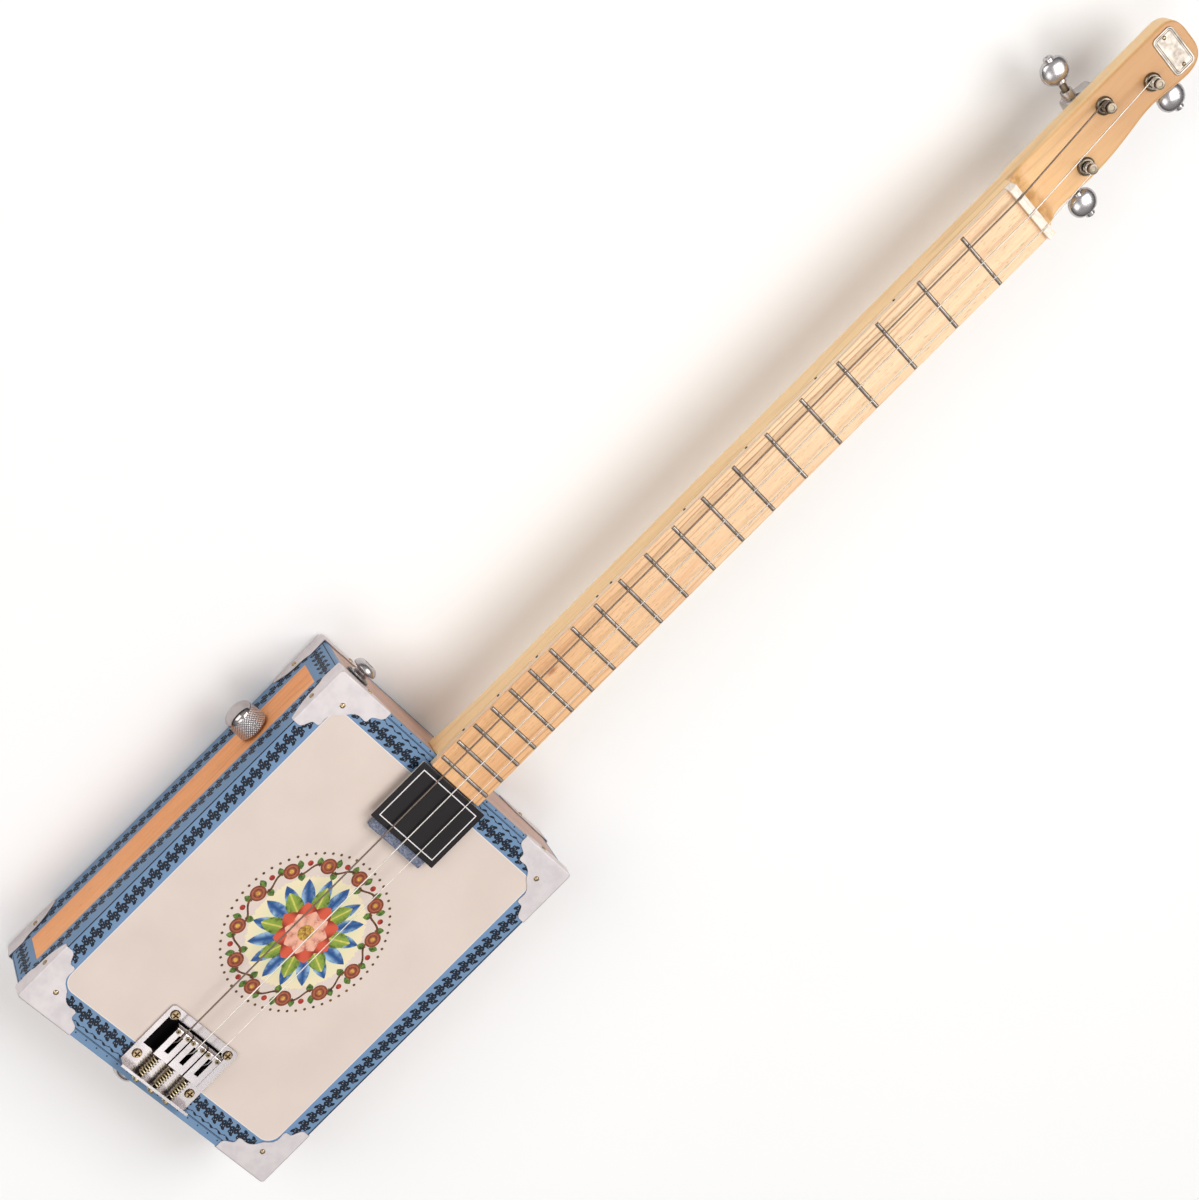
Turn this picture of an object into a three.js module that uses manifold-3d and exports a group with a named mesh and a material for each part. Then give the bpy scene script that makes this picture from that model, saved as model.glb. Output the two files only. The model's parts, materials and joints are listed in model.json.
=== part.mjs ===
// Three-string cigar box guitar, lying on its back.
// Millimetres. +Z out of the soundboard, +Y along the neck to the head, +X the treble side.
// The origin is the centre of the box's back face.

import * as THREE from 'three';
import { mergeVertices } from 'three/addons/utils/BufferGeometryUtils.js';
import Module from 'manifold-3d';

const wasm = await Module();
wasm.setup();

// Clearances and cutting
const gap = 0.3;
const overrun = 1.5;
const weldTolerance = 0.0001;

// Box
const boxWidth = 188;
const boxLength = 247.4;
const boxHeight = 58;
const lidThickness = 3.2;
const backThickness = 3.2;
const wallThickness = 4;
const panelClearance = 2;
const panelNeckInset = 10.2;

// Neck, fretboard and head
const neckWidth = 38.1;
const blankThickness = 19.1;
const neckRounding = 6.35;
const headRounding = 1.6;
const heelDepth = 5;
const heelLength = 42;
const tenonWidth = 36;
const fretboardThickness = 5.3;
const fretboardOverlap = 5.4;
const fretboardPastLastFret = 7.7;
const scaleLength = 635;
const fretLineFromTail = 49.7;
const fretCount = 20;
const nutLength = 5.2;
const nutHeight = 8.4;
const headLength = 129;
const headThickness = 13.1;
const scoopLength = 12.5;

// Strings: bass to treble
const stringDiameters = [1.0, 0.8, 0.6];
const stringSpacingAtNut = 11.85;
const stringSpacingAtBridge = 11.4;
const stringCount = stringDiameters.length;

// Corner protectors
const corner = {
  thickness: 0.7,
  reach: 37.5,
  topNailShare: 0.375,
  sideNailShare: 0.58,
  sideNailDepthShare: 0.12,
};
const cornerOutlineShares = [
  [0, 1], [0.093, 1], [0.149, 0.965], [0.219, 0.837], [0.299, 0.824], [0.331, 0.787], [0.328, 0.667],
  [0.375, 0.57], [0.485, 0.485],
];
const flangeOutlineShares = [[0, 0.28], [0.28, 0.296], [0.4, 0.245], [0.64, 0.219], [0.8, 0.171], [1, 0.067]];

// Head outline, in shares of the neck's half width and of the head's length
const headOutlineShares = [
  [0, 1, 0.985], [0.03, 1, 0.95], [0.075, 1, 0.92], [0.13, 1, 0.91], [0.22, 1, 0.935], [0.32, 1, 0.95],
  [0.43, 1, 0.905], [0.54, 1, 0.8], [0.62, 1, 0.71], [0.69, 1, 0.68], [0.76, 1, 0.705], [0.83, 1, 0.765],
  [0.89, 1, 0.79], [0.93, 0.985, 0.75], [0.96, 0.91, 0.66], [0.98, 0.79, 0.52], [0.993, 0.6, 0.33],
  [1, 0.36, 0.14],
];

// Plain plate on the head
const headPlateMiddleShares = [-0.12, 0.9];
const headPlate = { length: 26.4, width: 14.6, thickness: 0.7, rounding: 3, screwFromEnd: 3.3 };
const headPlateCornerSteps = 4;

// Frets and nut slots
const fret = { crownWidth: 2.4, crownHeight: 1, shoulderShare: 0.6, shoulderRise: 0.8, lengthInset: 0.6 };
const nutSlotDepth = 1.1;

// Tuners: places are measured from the head's tip
const tuner = {
  postRadius: 3,
  postWaistRadius: 2.4,
  postRise: 9.6,
  waistFrom: 3.1,
  waistTo: 8.2,
  stringHoleRadius: 0.9,
  bushBarrelRadius: 4.2,
  bushFlangeRadius: 5.3,
  bushFlangeHeight: 2.1,
  wheelTeeth: 15,
  threadPitch: 2.2,
  threadTipRadius: 3.1,
  wormCoreRadius: 1.9,
  threadTurns: 3,
  threadRootWidth: 1.05,
  threadTipWidth: 0.5,
  wheelThickness: 2.4,
  wheelToothDepth: 1.2,
  wheelToothTipShare: 0.27,
  wheelToothRootShare: 0.5,
  shaftRadius: 2.25,
  wallThickness: 1.4,
  cavityHeight: 10.2,
  gearDepthShare: 0.6,
  collarLength: 4.8,
  collarRadius: 4.3,
  collarMouthRadius: 3.6,
  housingRounding: 2.6,
  tabLength: 5.4,
  tabThickness: 2,
};
const button = {
  fromPost: 17.4,
  length: 15.6,
  widthRadius: 8.9,
  flatShare: 0.54,
  hubRadius: 3.7,
  hubLengthShare: 0.62,
  boreDepth: 8,
  capRadius: 3,
  capHeight: 1.8,
  capTopShare: 0.8,
  sides: 16,
};
const buttonProfileShares = [
  [0, 0], [0.34, 0.01], [0.82, 0.2], [1, 0.46], [0.94, 0.72], [0.7, 0.92], [0.34, 1], [0, 1],
];
// outward: which way the button points, hand: the side of the post that the worm passes, seen with the
// button to the right; yawDegrees: how the unit is turned on the head.
const tunerPlaces = [
  { x: -8.6, fromTip: 61.4, outward: -1, hand: 1, yawDegrees: -8, stringSide: -1 },
  { x: 1.9, fromTip: 32.6, outward: 1, hand: 1, yawDegrees: 3, stringSide: -1 },
  { x: 9.8, fromTip: 90.1, outward: 1, hand: -1, yawDegrees: -3, stringSide: 1 },
];

// Bridge, saddles and their screws
const bridge = {
  fromTail: 6,
  width: 50.4,
  length: 43.5,
  thickness: 1.6,
  lipHeight: 9,
  screwSpacingX: 40.6,
  screwSpacingY: 30,
  screwFromFront: 4.4,
};
const saddle = {
  width: 10.9,
  length: 20.8,
  thickness: 1.6,
  top: 8.8,
  fromPlateFront: 6.2,
  slotLength: 12,
  slotWidth: 3,
  slotFromFront: 4.1,
  flangeBottom: 2.4,
  noseDrop: 2.6,
};
const saddleTravel = 2;
const heightScrew = { radius: 1.45, fromFront: 2.6, spacing: 7.2, topProud: 0.5 };
const intonation = {
  radius: 1.2,
  headRadius: 1.9,
  headTaperShare: 0.9,
  headLength: 2.2,
  axisHeight: 5.7,
  slotWidth: 0.6,
  tip: 2,
};
const spring = { wireRadius: 0.4, coilRadius: 2, curls: 8, stepsPerCurl: 8, wireSides: 5 };

// String ends and windings
const stringHole = { height: 2.45, radius: 0.8 };
const ballRadius = 1.25;
const ballLength = 3.2;
const winding = { turns: 2, stepsPerTurn: 20, sides: 6, clearance: 0.45 };

// Pickup and its lead's way into the box
const pickup = {
  fromFretboard: 0.7,
  plateWidth: 49.6,
  plateLength: 41.6,
  plateThickness: 2,
  padWidth: 40.6,
  padLength: 41.6,
  padHeight: 5.2,
  padShift: -5.6,
};
const leadRadius = 1.1;
const leadHole = { x: -12, fromPickupFront: 26.9 };
const leadChannelShare = 0.65;

// Volume control, on the bass side
const pot = {
  fromBoxCentre: 64.5,
  bodyRadius: 12,
  bodyDepth: 9,
  bushRadius: 3.9,
  bushLength: 7.4,
  shaftRadius: 3.05,
  shaftLength: 15,
  nutRadius: 6.3,
  nutThickness: 2.2,
  lugWidth: 2,
  lugLength: 6,
  lugThickness: 0.7,
  lugSpacing: 5,
};
const knob = { radius: 9.5, rimShare: 0.94, height: 17, domeHeight: 5, underGap: 0.9, recessDepth: 3.4 };

// Output jack, on the tail end
const jack = {
  x: 52,
  barrelRadius: 4.6,
  boreRadius: 3.35,
  barrelLength: 12,
  canRadius: 7.5,
  canLength: 20,
  nutRadius: 7.2,
  nutThickness: 2.6,
};

// Strap buttons
const strap = {
  radius: 7.3,
  height: 8.4,
  feltRadius: 7.3,
  feltThickness: 1.4,
  sides: 12,
  neckFromSide: 17,
  neckFromLid: 20,
  tailFromMiddle: -4,
  tailFromBack: 30,
};
const strapProfileShares = [
  [0, 0], [0.75, 0], [0.75, 0.12], [0.53, 0.28], [0.53, 0.4], [0.95, 0.48], [1, 0.6], [0.92, 0.82],
  [0.66, 1], [0, 1],
];

// Lead routes inside the box, clear of the tenon. A share gives how far a bend is along X, along Y and up.
const leadRun = {
  segments: 26,
  sides: 6,
  fromWall: 5.5,
  lugGap: 0.8,
  lugDrop: 1.4,
  underLid: 0.7,
  aboveBack: 2.2,
};
const pickupBendShares = [
  [0.102, 0.027, 0.939], [0.19, 0.141, 0.701], [0.292, 0.332, 0.463], [0.438, 0.599, 0.247],
  [0.584, 0.809, 0.106], [0.745, 0.943, 0.03], [0.891, 0.992, 0], [0.969, 1, 0.017],
];
const jackBendShares = [
  [0.011, 0.013, 0.034], [0.046, 0.066, 0], [0.132, 0.186, 0], [0.274, 0.376, 0], [0.473, 0.565, 0],
  [0.687, 0.729, 0], [0.872, 0.843, 0.076], [0.957, 0.9, 0.328], [0.989, 0.941, 0.664], [1, 0.972, 0.958],
];

// Levels and places that follow from the sizes
const semitones = 12;

function fretY(number) {
  return nutFront - scaleLength * (1 - 2 ** (-number / semitones));
}

const boxTop = boxHeight;
const halfWidth = boxWidth / 2;
const halfLength = boxLength / 2;
const lidBottom = boxTop - lidThickness;
const halfNeck = neckWidth / 2;
const neckBack = boxTop - blankThickness;
const fretboardTop = boxTop + fretboardThickness;
const nutFront = scaleLength + fretLineFromTail - halfLength;
const nutRear = nutFront + nutLength;
const headFace = neckBack + headThickness;
const fretboardEnd = Math.min(halfLength - fretboardOverlap, fretY(fretCount) - fretboardPastLastFret);

// Fastener sizes shared by several pieces
const nail = { headRadius: 1.6, headHeight: 0.9, shankRadius: 0.6, shankLength: 3, sides: 6 };
const tunerScrew = { headRadius: 2.3, headHeight: 1.4, shankRadius: 1.1, shankLength: 8, sides: 6 };
const headPlateScrew = { headRadius: 1.3, headHeight: 0.7, shankRadius: 0.6, shankLength: 4, sides: 6 };
const bridgeScrew = { headRadius: 2.8, headHeight: 1.5, shankRadius: 1.3, shankLength: 8, sides: 8 };
const strapScrew = { headRadius: 2.6, headHeight: 1.4, shankRadius: 1.5, shankLength: 14, sides: 8 };
const headTaperShare = 0.85;
const crossSlot = { lengthShare: 1.3, widthShare: 0.28, depthShare: 0.6 };

// Finishes
function finish(color, roughness, metalness) {
  return new THREE.MeshStandardMaterial({ color, roughness, metalness, flatShading: true });
}
const maple = finish(0xeec18c, 0.5, 0);
const fretboardMaple = finish(0xf5c89e, 0.45, 0);
const boxWood = finish(0xe89a66, 0.55, 0);
const lidPaper = finish(0xe8d9cd, 0.6, 0);
const bone = finish(0xfdefe0, 0.4, 0);
const nickel = finish(0xe1d7dc, 0.35, 1);
const chrome = finish(0xd6d3d2, 0.12, 1);
const steel = finish(0xb9b6b3, 0.35, 1);
const brass = finish(0xc9a45c, 0.35, 1);
const pickupBlack = finish(0x231c1e, 0.35, 0);
const padRubber = finish(0x6a7486, 0.9, 0);
const felt = finish(0x171517, 0.95, 0);
const leadPlastic = finish(0x2b2b2e, 0.5, 0);
const woundString = finish(0x6b5a4d, 0.4, 1);
const plainString = finish(0xcfc9c2, 0.25, 1);

// Geometry helpers

// Welds a geometry into one closed surface that faces outwards.
function closed(geometry) {
  const bare = new THREE.BufferGeometry();
  bare.setAttribute('position', geometry.getAttribute('position').clone());
  if (geometry.index) bare.setIndex(geometry.index.clone());
  const welded = mergeVertices(bare, weldTolerance);
  const position = welded.getAttribute('position');
  const index = welded.index.array;
  const corner = [new THREE.Vector3(), new THREE.Vector3(), new THREE.Vector3()];
  const kept = [];
  let volume = 0;
  for (let i = 0; i < index.length; i += 3) {
    const [a, b, c] = [index[i], index[i + 1], index[i + 2]];
    if (a === b || b === c || c === a) continue;
    kept.push(a, b, c);
    [a, b, c].forEach((vertex, k) => corner[k].fromBufferAttribute(position, vertex));
    volume += corner[0].dot(corner[1].cross(corner[2]));
  }
  if (volume < 0) kept.reverse();
  welded.setIndex(kept);
  return welded;
}

function solidOf(geometry) {
  const welded = closed(geometry);
  const vertProperties = new Float32Array(welded.getAttribute('position').array);
  const triVerts = new Uint32Array(welded.index.array);
  return new wasm.Manifold(new wasm.Mesh({ numProp: 3, vertProperties, triVerts }));
}

function geometryOf(solid) {
  const mesh = solid.getMesh();
  const geometry = new THREE.BufferGeometry();
  geometry.setAttribute('position', new THREE.BufferAttribute(new Float32Array(mesh.vertProperties), 3));
  geometry.setIndex(Array.from(mesh.triVerts));
  return geometry;
}

function cut(geometry, tools) {
  return geometryOf(tools.reduce((solid, tool) => solid.subtract(solidOf(tool)), solidOf(geometry)));
}

function join(geometries) {
  const [first, ...others] = geometries.map(solidOf);
  return geometryOf(others.reduce((solid, other) => solid.add(other), first));
}

function block(x, y, z) {
  const geometry = new THREE.BoxGeometry(x[1] - x[0], y[1] - y[0], z[1] - z[0]);
  return geometry.translate((x[0] + x[1]) / 2, (y[0] + y[1]) / 2, (z[0] + z[1]) / 2);
}

// Turns a profile of [radius, height] points about Z.
function turned(profile, sides) {
  const points = profile.map(([radius, height]) => new THREE.Vector2(radius, height));
  return new THREE.LatheGeometry(points, sides).rotateX(Math.PI / 2);
}

function rod(radius, from, to, sides) {
  return turned([[0, from], [radius, from], [radius, to], [0, to]], sides);
}

// Aims a geometry that was made along +Z.
const aim = {
  up: (geometry) => geometry,
  down: (geometry) => geometry.rotateX(Math.PI),
  head: (geometry) => geometry.rotateX(-Math.PI / 2),
  tail: (geometry) => geometry.rotateX(Math.PI / 2),
  treble: (geometry) => geometry.rotateY(Math.PI / 2),
  bass: (geometry) => geometry.rotateY(-Math.PI / 2),
};

function outlineShape(points) {
  return new THREE.Shape(points.map(([x, y]) => new THREE.Vector2(x, y)));
}

function plate(points, from, to) {
  const shape = outlineShape(points);
  return new THREE.ExtrudeGeometry(shape, { depth: to - from, bevelEnabled: false }).translate(0, 0, from);
}

function regularPolygon(radius, sides) {
  const corners = [];
  for (let i = 0; i < sides; i += 1) {
    const angle = (2 * Math.PI * (i + 1 / 2)) / sides;
    corners.push([radius * Math.cos(angle), radius * Math.sin(angle)]);
  }
  return corners;
}

// Skins a row of like sections, each a ring of THREE.Vector3, and closes both ends.
function lofted(sections) {
  const ring = sections[0].length;
  const positions = sections.flat().flatMap((point) => point.toArray());
  const index = [];
  for (let s = 0; s + 1 < sections.length; s += 1) {
    for (let i = 0; i < ring; i += 1) {
      const a = s * ring + i;
      const b = s * ring + ((i + 1) % ring);
      index.push(a, b, b + ring, a, b + ring, a + ring);
    }
  }
  const last = (sections.length - 1) * ring;
  for (let i = 1; i + 1 < ring; i += 1) {
    index.push(0, i + 1, i, last, last + i, last + i + 1);
  }
  const geometry = new THREE.BufferGeometry();
  geometry.setAttribute('position', new THREE.BufferAttribute(new Float32Array(positions), 3));
  geometry.setIndex(index);
  return closed(geometry);
}

// A path whose steps fall exactly on the given points.
class RoutePath extends THREE.Curve {
  constructor(points) {
    super();
    this.points = points;
  }

  getPointAt(share) {
    return this.points[Math.round(share * (this.points.length - 1))].clone();
  }

  getTangentAt(share) {
    const here = Math.round(share * (this.points.length - 1));
    const before = this.points[Math.max(here - 1, 0)];
    const after = this.points[Math.min(here + 1, this.points.length - 1)];
    return after.clone().sub(before).normalize();
  }
}

function tube(points, radius, sides) {
  const shape = outlineShape(regularPolygon(radius, sides));
  const path = new RoutePath(points);
  return new THREE.ExtrudeGeometry(shape, { steps: points.length - 1, extrudePath: path });
}

// Least distance between the surfaces of a tube's runs that are not neighbours along it.
function leastSelfGap(points, radius, reach) {
  let least = Infinity;
  points.forEach((point, i) => {
    let travelled = 0;
    for (let j = i + 1; j < points.length; j += 1) {
      travelled += points[j].distanceTo(points[j - 1]);
      if (travelled > reach) least = Math.min(least, point.distanceTo(points[j]) - 2 * radius);
    }
  });
  return least;
}

// A screw or nail along +Z: the underside of its head lies at zero and its shank goes down from there.
function fastener(size, slotted) {
  const rise = size.headHeight;
  const profile = [
    [0, -size.shankLength], [size.shankRadius, -size.shankLength],
    [size.shankRadius, 0], [size.headRadius, 0],
    [size.headRadius * headTaperShare, rise], [0, rise],
  ];
  const body = turned(profile, size.sides);
  if (!slotted) return body;
  const half = (size.headRadius * crossSlot.lengthShare) / 2;
  const thin = (size.headRadius * crossSlot.widthShare) / 2;
  const floor = rise * (1 - crossSlot.depthShare);
  const wide = block([-half, half], [-thin, thin], [floor, rise + overrun]);
  const tall = block([-thin, thin], [-half, half], [floor, rise + overrun]);
  return cut(body, [wide, tall]);
}

function fastenerHole(size) {
  return rod(size.shankRadius + gap, -size.shankLength - gap, overrun, size.sides);
}

const model = new THREE.Group();

function add(name, geometry, material, parent = model) {
  const mesh = new THREE.Mesh(geometry, material);
  mesh.name = name;
  parent.add(mesh);
  return mesh;
}

// Corner protectors and their nails

// Nails of one corner in the corner's own axes: X and Y run inwards from the box's corner, Z outwards
// from the lid or back. Each stands on the protector's outer face.
function cornerNailPlaces() {
  const top = corner.reach * corner.topNailShare;
  const along = corner.reach * corner.sideNailShare;
  const down = -corner.reach * corner.sideNailDepthShare;
  const wall = corner.thickness;
  return [
    { at: [top, top, wall], aim: aim.up },
    { at: [-wall, along, down], aim: aim.bass },
    { at: [along, -wall, down], aim: aim.tail },
  ];
}

// A protector with its three nails, which are driven through it and stay one piece with it.
function cornerProtector() {
  const wall = corner.thickness;
  const half = cornerOutlineShares.map(([a, b]) => [a * corner.reach, b * corner.reach]);
  const mirrored = half.slice(0, -1).map(([a, b]) => [b, a]).reverse();
  const inner = [...half, ...mirrored];
  const top = plate([[-wall, -wall], [-wall, corner.reach], ...inner, [corner.reach, -wall]], 0, wall);
  const flange = flangeOutlineShares.map(([a, b]) => [a * corner.reach, -b * corner.reach]);
  const flangeOutline = [[-wall, wall], [-wall, flange[0][1]], ...flange, [corner.reach, wall]];
  const end = plate(flangeOutline, 0, wall).rotateX(Math.PI / 2);
  const side = end.clone().rotateZ(Math.PI / 2).scale(-1, 1, 1);
  const nails = cornerNailPlaces().map((place) => place.aim(fastener(nail, false)).translate(...place.at));
  return join([top, end, side, ...nails]);
}

// Moves a geometry from a corner's own axes to one of the box's eight corners.
function toCorner(geometry, place) {
  const placed = geometry.clone();
  placed.scale(-place.x, -place.y, place.z);
  return closed(placed.translate(place.x * halfWidth, place.y * halfLength, place.z > 0 ? boxTop : 0));
}

const sides = [-1, 1];
const cornerPlaces = [
  { name: 'upper_neck_bass', x: -1, y: 1, z: 1 },
  { name: 'upper_neck_treble', x: 1, y: 1, z: 1 },
  { name: 'upper_tail_bass', x: -1, y: -1, z: 1 },
  { name: 'upper_tail_treble', x: 1, y: -1, z: 1 },
  { name: 'lower_neck_bass', x: -1, y: 1, z: -1 },
  { name: 'lower_neck_treble', x: 1, y: 1, z: -1 },
  { name: 'lower_tail_bass', x: -1, y: -1, z: -1 },
  { name: 'lower_tail_treble', x: 1, y: -1, z: -1 },
];

const nailHoles = cornerPlaces.flatMap((boxCorner) => cornerNailPlaces().map((place) =>
  toCorner(place.aim(fastenerHole(nail)).translate(...place.at), boxCorner)));

function cornerHardware() {
  const protector = cornerProtector();
  cornerPlaces.forEach((place) => add(`corner_${place.name}`, toCorner(protector, place), nickel));
}

// Places of the controls, strap buttons and bridge screws
const controlHeight = boxHeight / 2;

const strapPlaces = [
  {
    name: 'neck',
    x: strap.neckFromSide - halfWidth,
    y: halfLength,
    z: boxTop - strap.neckFromLid,
    aim: aim.head,
  },
  { name: 'tail', x: strap.tailFromMiddle, y: -halfLength, z: strap.tailFromBack, aim: aim.tail },
];

const leadHoleRadius = leadRadius + 3 * gap;
const pickupFrontY = fretboardEnd - pickup.fromFretboard;
const leadHoleY = pickupFrontY - leadHole.fromPickupFront;
const leadChannelDepth = 2 * leadHoleRadius + 2 * gap;

const bridgeRear = -halfLength + bridge.fromTail;
const bridgeFront = bridgeRear + bridge.length;
const bridgeScrewY = bridgeFront - bridge.screwFromFront;
const bridgeScrewPlaces = sides.flatMap((x) => [0, 1].map((row) =>
  [(x * bridge.screwSpacingX) / 2, bridgeScrewY - row * bridge.screwSpacingY]));

// Box boards

function throughHole(radius, x, y, z, turn, depth, count) {
  return turn(rod(radius, -depth - overrun, overrun, count)).translate(x, y, z);
}

// The back's clear panel between the protectors is a face of its own. Its neck end is the deeper one in,
// so that no edge of the panel's triangles crosses the middle.
function backBoard() {
  const thick = [0, backThickness];
  const panelX = halfWidth - corner.reach - panelClearance;
  const panelY = halfLength - corner.reach - panelClearance;
  const panel = [[-panelX, panelX], [-panelY, panelY - panelNeckInset]];
  const board = block([-halfWidth, halfWidth], [-halfLength, halfLength], thick);
  const ring = cut(board, [...nailHoles, block(panel[0], panel[1], [-overrun, backThickness + overrun])]);
  return join([ring, block(panel[0], panel[1], thick)]);
}

function boxBoards() {
  const full = [-halfWidth, halfWidth];
  const long = [-halfLength, halfLength];
  const innerX = halfWidth - wallThickness;
  const innerY = halfLength - wallThickness;
  const holeSides = 12;

  const lidHoles = [
    ...nailHoles,
    throughHole(leadHoleRadius, leadHole.x, leadHoleY, boxTop, aim.up, lidThickness, holeSides),
    ...bridgeScrewPlaces.map(([x, y]) =>
      throughHole(bridgeScrew.shankRadius + gap, x, y, boxTop, aim.up, lidThickness, bridgeScrew.sides)),
  ];
  add('lid', cut(block(full, long, [lidBottom, boxTop]), lidHoles), lidPaper);
  add('back_board', backBoard(), boxWood);

  const wall = [backThickness, lidBottom];
  const potHole = throughHole(
    pot.bushRadius + gap, -halfWidth, pot.fromBoxCentre, controlHeight, aim.bass, wallThickness, holeSides);
  const left = block([-halfWidth, -innerX], long, wall);
  const right = block([innerX, halfWidth], long, wall);
  add('side_bass', cut(left, [...nailHoles, potHole]), boxWood);
  add('side_treble', cut(right, nailHoles), boxWood);

  const endX = [-innerX, innerX];
  const notchHalf = tenonWidth / 2 + gap;
  const notch = block([-notchHalf, notchHalf], [innerY - overrun, halfLength + overrun],
    [neckBack - gap, lidBottom + overrun]);
  const strapHoles = strapPlaces.map((place) =>
    throughHole(strapScrew.shankRadius + gap, place.x, place.y, place.z, place.aim, wallThickness,
      strapScrew.sides));
  const neckEnd = block(endX, [innerY, halfLength], wall);
  add('end_neck', cut(neckEnd, [...nailHoles, notch, strapHoles[0]]), boxWood);

  const jackHole = throughHole(
    jack.barrelRadius + gap, jack.x, -halfLength, controlHeight, aim.tail, wallThickness, holeSides);
  const tailEnd = block(endX, [-halfLength, -innerY], wall);
  add('end_tail', cut(tailEnd, [...nailHoles, jackHole, strapHoles[1]]), boxWood);
}

// Tuner sizes that follow from the table
const wheelPitchRadius = (tuner.wheelTeeth * tuner.threadPitch) / (2 * Math.PI);
const threadDepth = tuner.threadTipRadius - tuner.wormCoreRadius;
const wormOffset = wheelPitchRadius + tuner.wormCoreRadius + threadDepth / 2;
const wheelTipRadius = wheelPitchRadius + tuner.wheelToothDepth / 2 - gap;
const wheelRootRadius = wheelTipRadius - tuner.wheelToothDepth;
const boreAroundPost = tuner.postRadius + gap;
const cavityTop = -tuner.wallThickness;
const cavityFloor = cavityTop - tuner.cavityHeight;
const gearLevel = cavityTop - tuner.cavityHeight * tuner.gearDepthShare;
const cavityReach = wheelTipRadius + 2 * gap;
const cavityWormSide = wormOffset + tuner.threadTipRadius + 2 * gap;
const tunerTabHole = cavityReach + tuner.wallThickness + tuner.tabLength / 2;

function tunerTurn(place) {
  const yaw = THREE.MathUtils.degToRad(place.yawDegrees);
  return place.outward > 0 ? yaw : Math.PI + yaw;
}

function tunerY(place) {
  return nutRear + headLength - place.fromTip;
}

// Moves a geometry from a tuner's own axes, whose origin is on the head's back, to its place.
function toTuner(geometry, place) {
  return geometry.rotateZ(tunerTurn(place)).translate(place.x, tunerY(place), neckBack);
}

// Neck with heel, tenon and head
function neckSection(y, left, right, top, bottom, rounding) {
  const steps = 3;
  const points = [new THREE.Vector3(right, y, top), new THREE.Vector3(-left, y, top)];
  for (let i = 0; i <= steps; i += 1) {
    const angle = ((Math.PI / 2) * i) / steps;
    const x = -left + rounding * (1 - Math.cos(angle));
    const z = bottom + rounding * (1 - Math.sin(angle));
    points.push(new THREE.Vector3(x, y, z));
  }
  for (let i = steps; i >= 0; i -= 1) {
    const angle = ((Math.PI / 2) * i) / steps;
    const x = right - rounding * (1 - Math.cos(angle));
    const z = bottom + rounding * (1 - Math.sin(angle));
    points.push(new THREE.Vector3(x, y, z));
  }
  return points;
}

function neckSections() {
  const sections = [];
  const heelSteps = 6;
  for (let i = 0; i <= heelSteps; i += 1) {
    const share = i / heelSteps;
    const depth = heelDepth * (1 - share) ** 2;
    sections.push(neckSection(halfLength + gap + heelLength * share, halfNeck, halfNeck, boxTop,
      neckBack - depth, neckRounding));
  }
  const shaftEnd = nutRear - scoopLength;
  sections.push(neckSection(shaftEnd, halfNeck, halfNeck, boxTop, neckBack, neckRounding));
  const scoopShare = scoopLength / headLength;
  headOutlineShares.forEach(([along, left, right]) => {
    const fall = Math.min(along / scoopShare, 1);
    const top = headFace + (boxTop - headFace) * (1 - fall) ** 2;
    sections.push(neckSection(nutRear + gap + headLength * along, halfNeck * left, halfNeck * right, top,
      neckBack, headRounding));
  });
  return sections;
}

function neckPiece() {
  const half = tenonWidth / 2;
  const tenonEnd = -halfLength + wallThickness + gap;
  const tenon = block([-half, half], [tenonEnd, halfLength + 2 * overrun], [neckBack, lidBottom]);
  const body = join([lofted(neckSections()), tenon]);
  const channel = block([-half - overrun, leadHole.x + leadHoleRadius + gap],
    [leadHoleY - leadHoleRadius - gap, leadHoleY + leadHoleRadius + gap],
    [lidBottom - leadChannelDepth, lidBottom + overrun]);
  const holeSides = 12;
  const postHoles = tunerPlaces.map((place) =>
    toTuner(rod(tuner.bushBarrelRadius + gap, -overrun, headThickness + overrun, holeSides), place));
  const tabHoles = tunerPlaces.map((place) =>
    toTuner(aim.down(fastenerHole(tunerScrew)).translate(0, -place.hand * tunerTabHole, 0), place));
  const plateHoles = headPlateScrewPlaces().map(([x, y]) =>
    fastenerHole(headPlateScrew).translate(x, y, headFace));
  return cut(body, [channel, ...postHoles, ...tabHoles, ...plateHoles]);
}

// Plain plate on the head

function onHead([across, along]) {
  return [across * halfNeck, nutRear + along * headLength];
}

function headPlateScrewPlaces() {
  const [x, y] = onHead(headPlateMiddleShares);
  const reach = headPlate.length / 2 - headPlate.screwFromEnd;
  return [[x - reach, y], [x + reach, y]];
}

function headPlateOutline() {
  const [x, y] = onHead(headPlateMiddleShares);
  const across = headPlate.length / 2 - headPlate.rounding;
  const along = headPlate.width / 2 - headPlate.rounding;
  const points = [];
  [[across, along], [-across, along], [-across, -along], [across, -along]].forEach(([dx, dy], quarter) => {
    for (let i = 0; i <= headPlateCornerSteps; i += 1) {
      const angle = (Math.PI / 2) * (quarter + i / headPlateCornerSteps);
      points.push([
        x + dx + headPlate.rounding * Math.cos(angle),
        y + dy + headPlate.rounding * Math.sin(angle),
      ]);
    }
  });
  return points;
}

function headPlatePiece() {
  const flat = plate(headPlateOutline(), headFace, headFace + headPlate.thickness);
  const screws = headPlateScrewPlaces().map(([x, y]) =>
    fastener(headPlateScrew, false).translate(x, y, headFace + headPlate.thickness));
  add('head_plate', join([flat, ...screws]), steel);
}

// Fretboard with its frets, which are pressed in, and the nut

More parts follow.
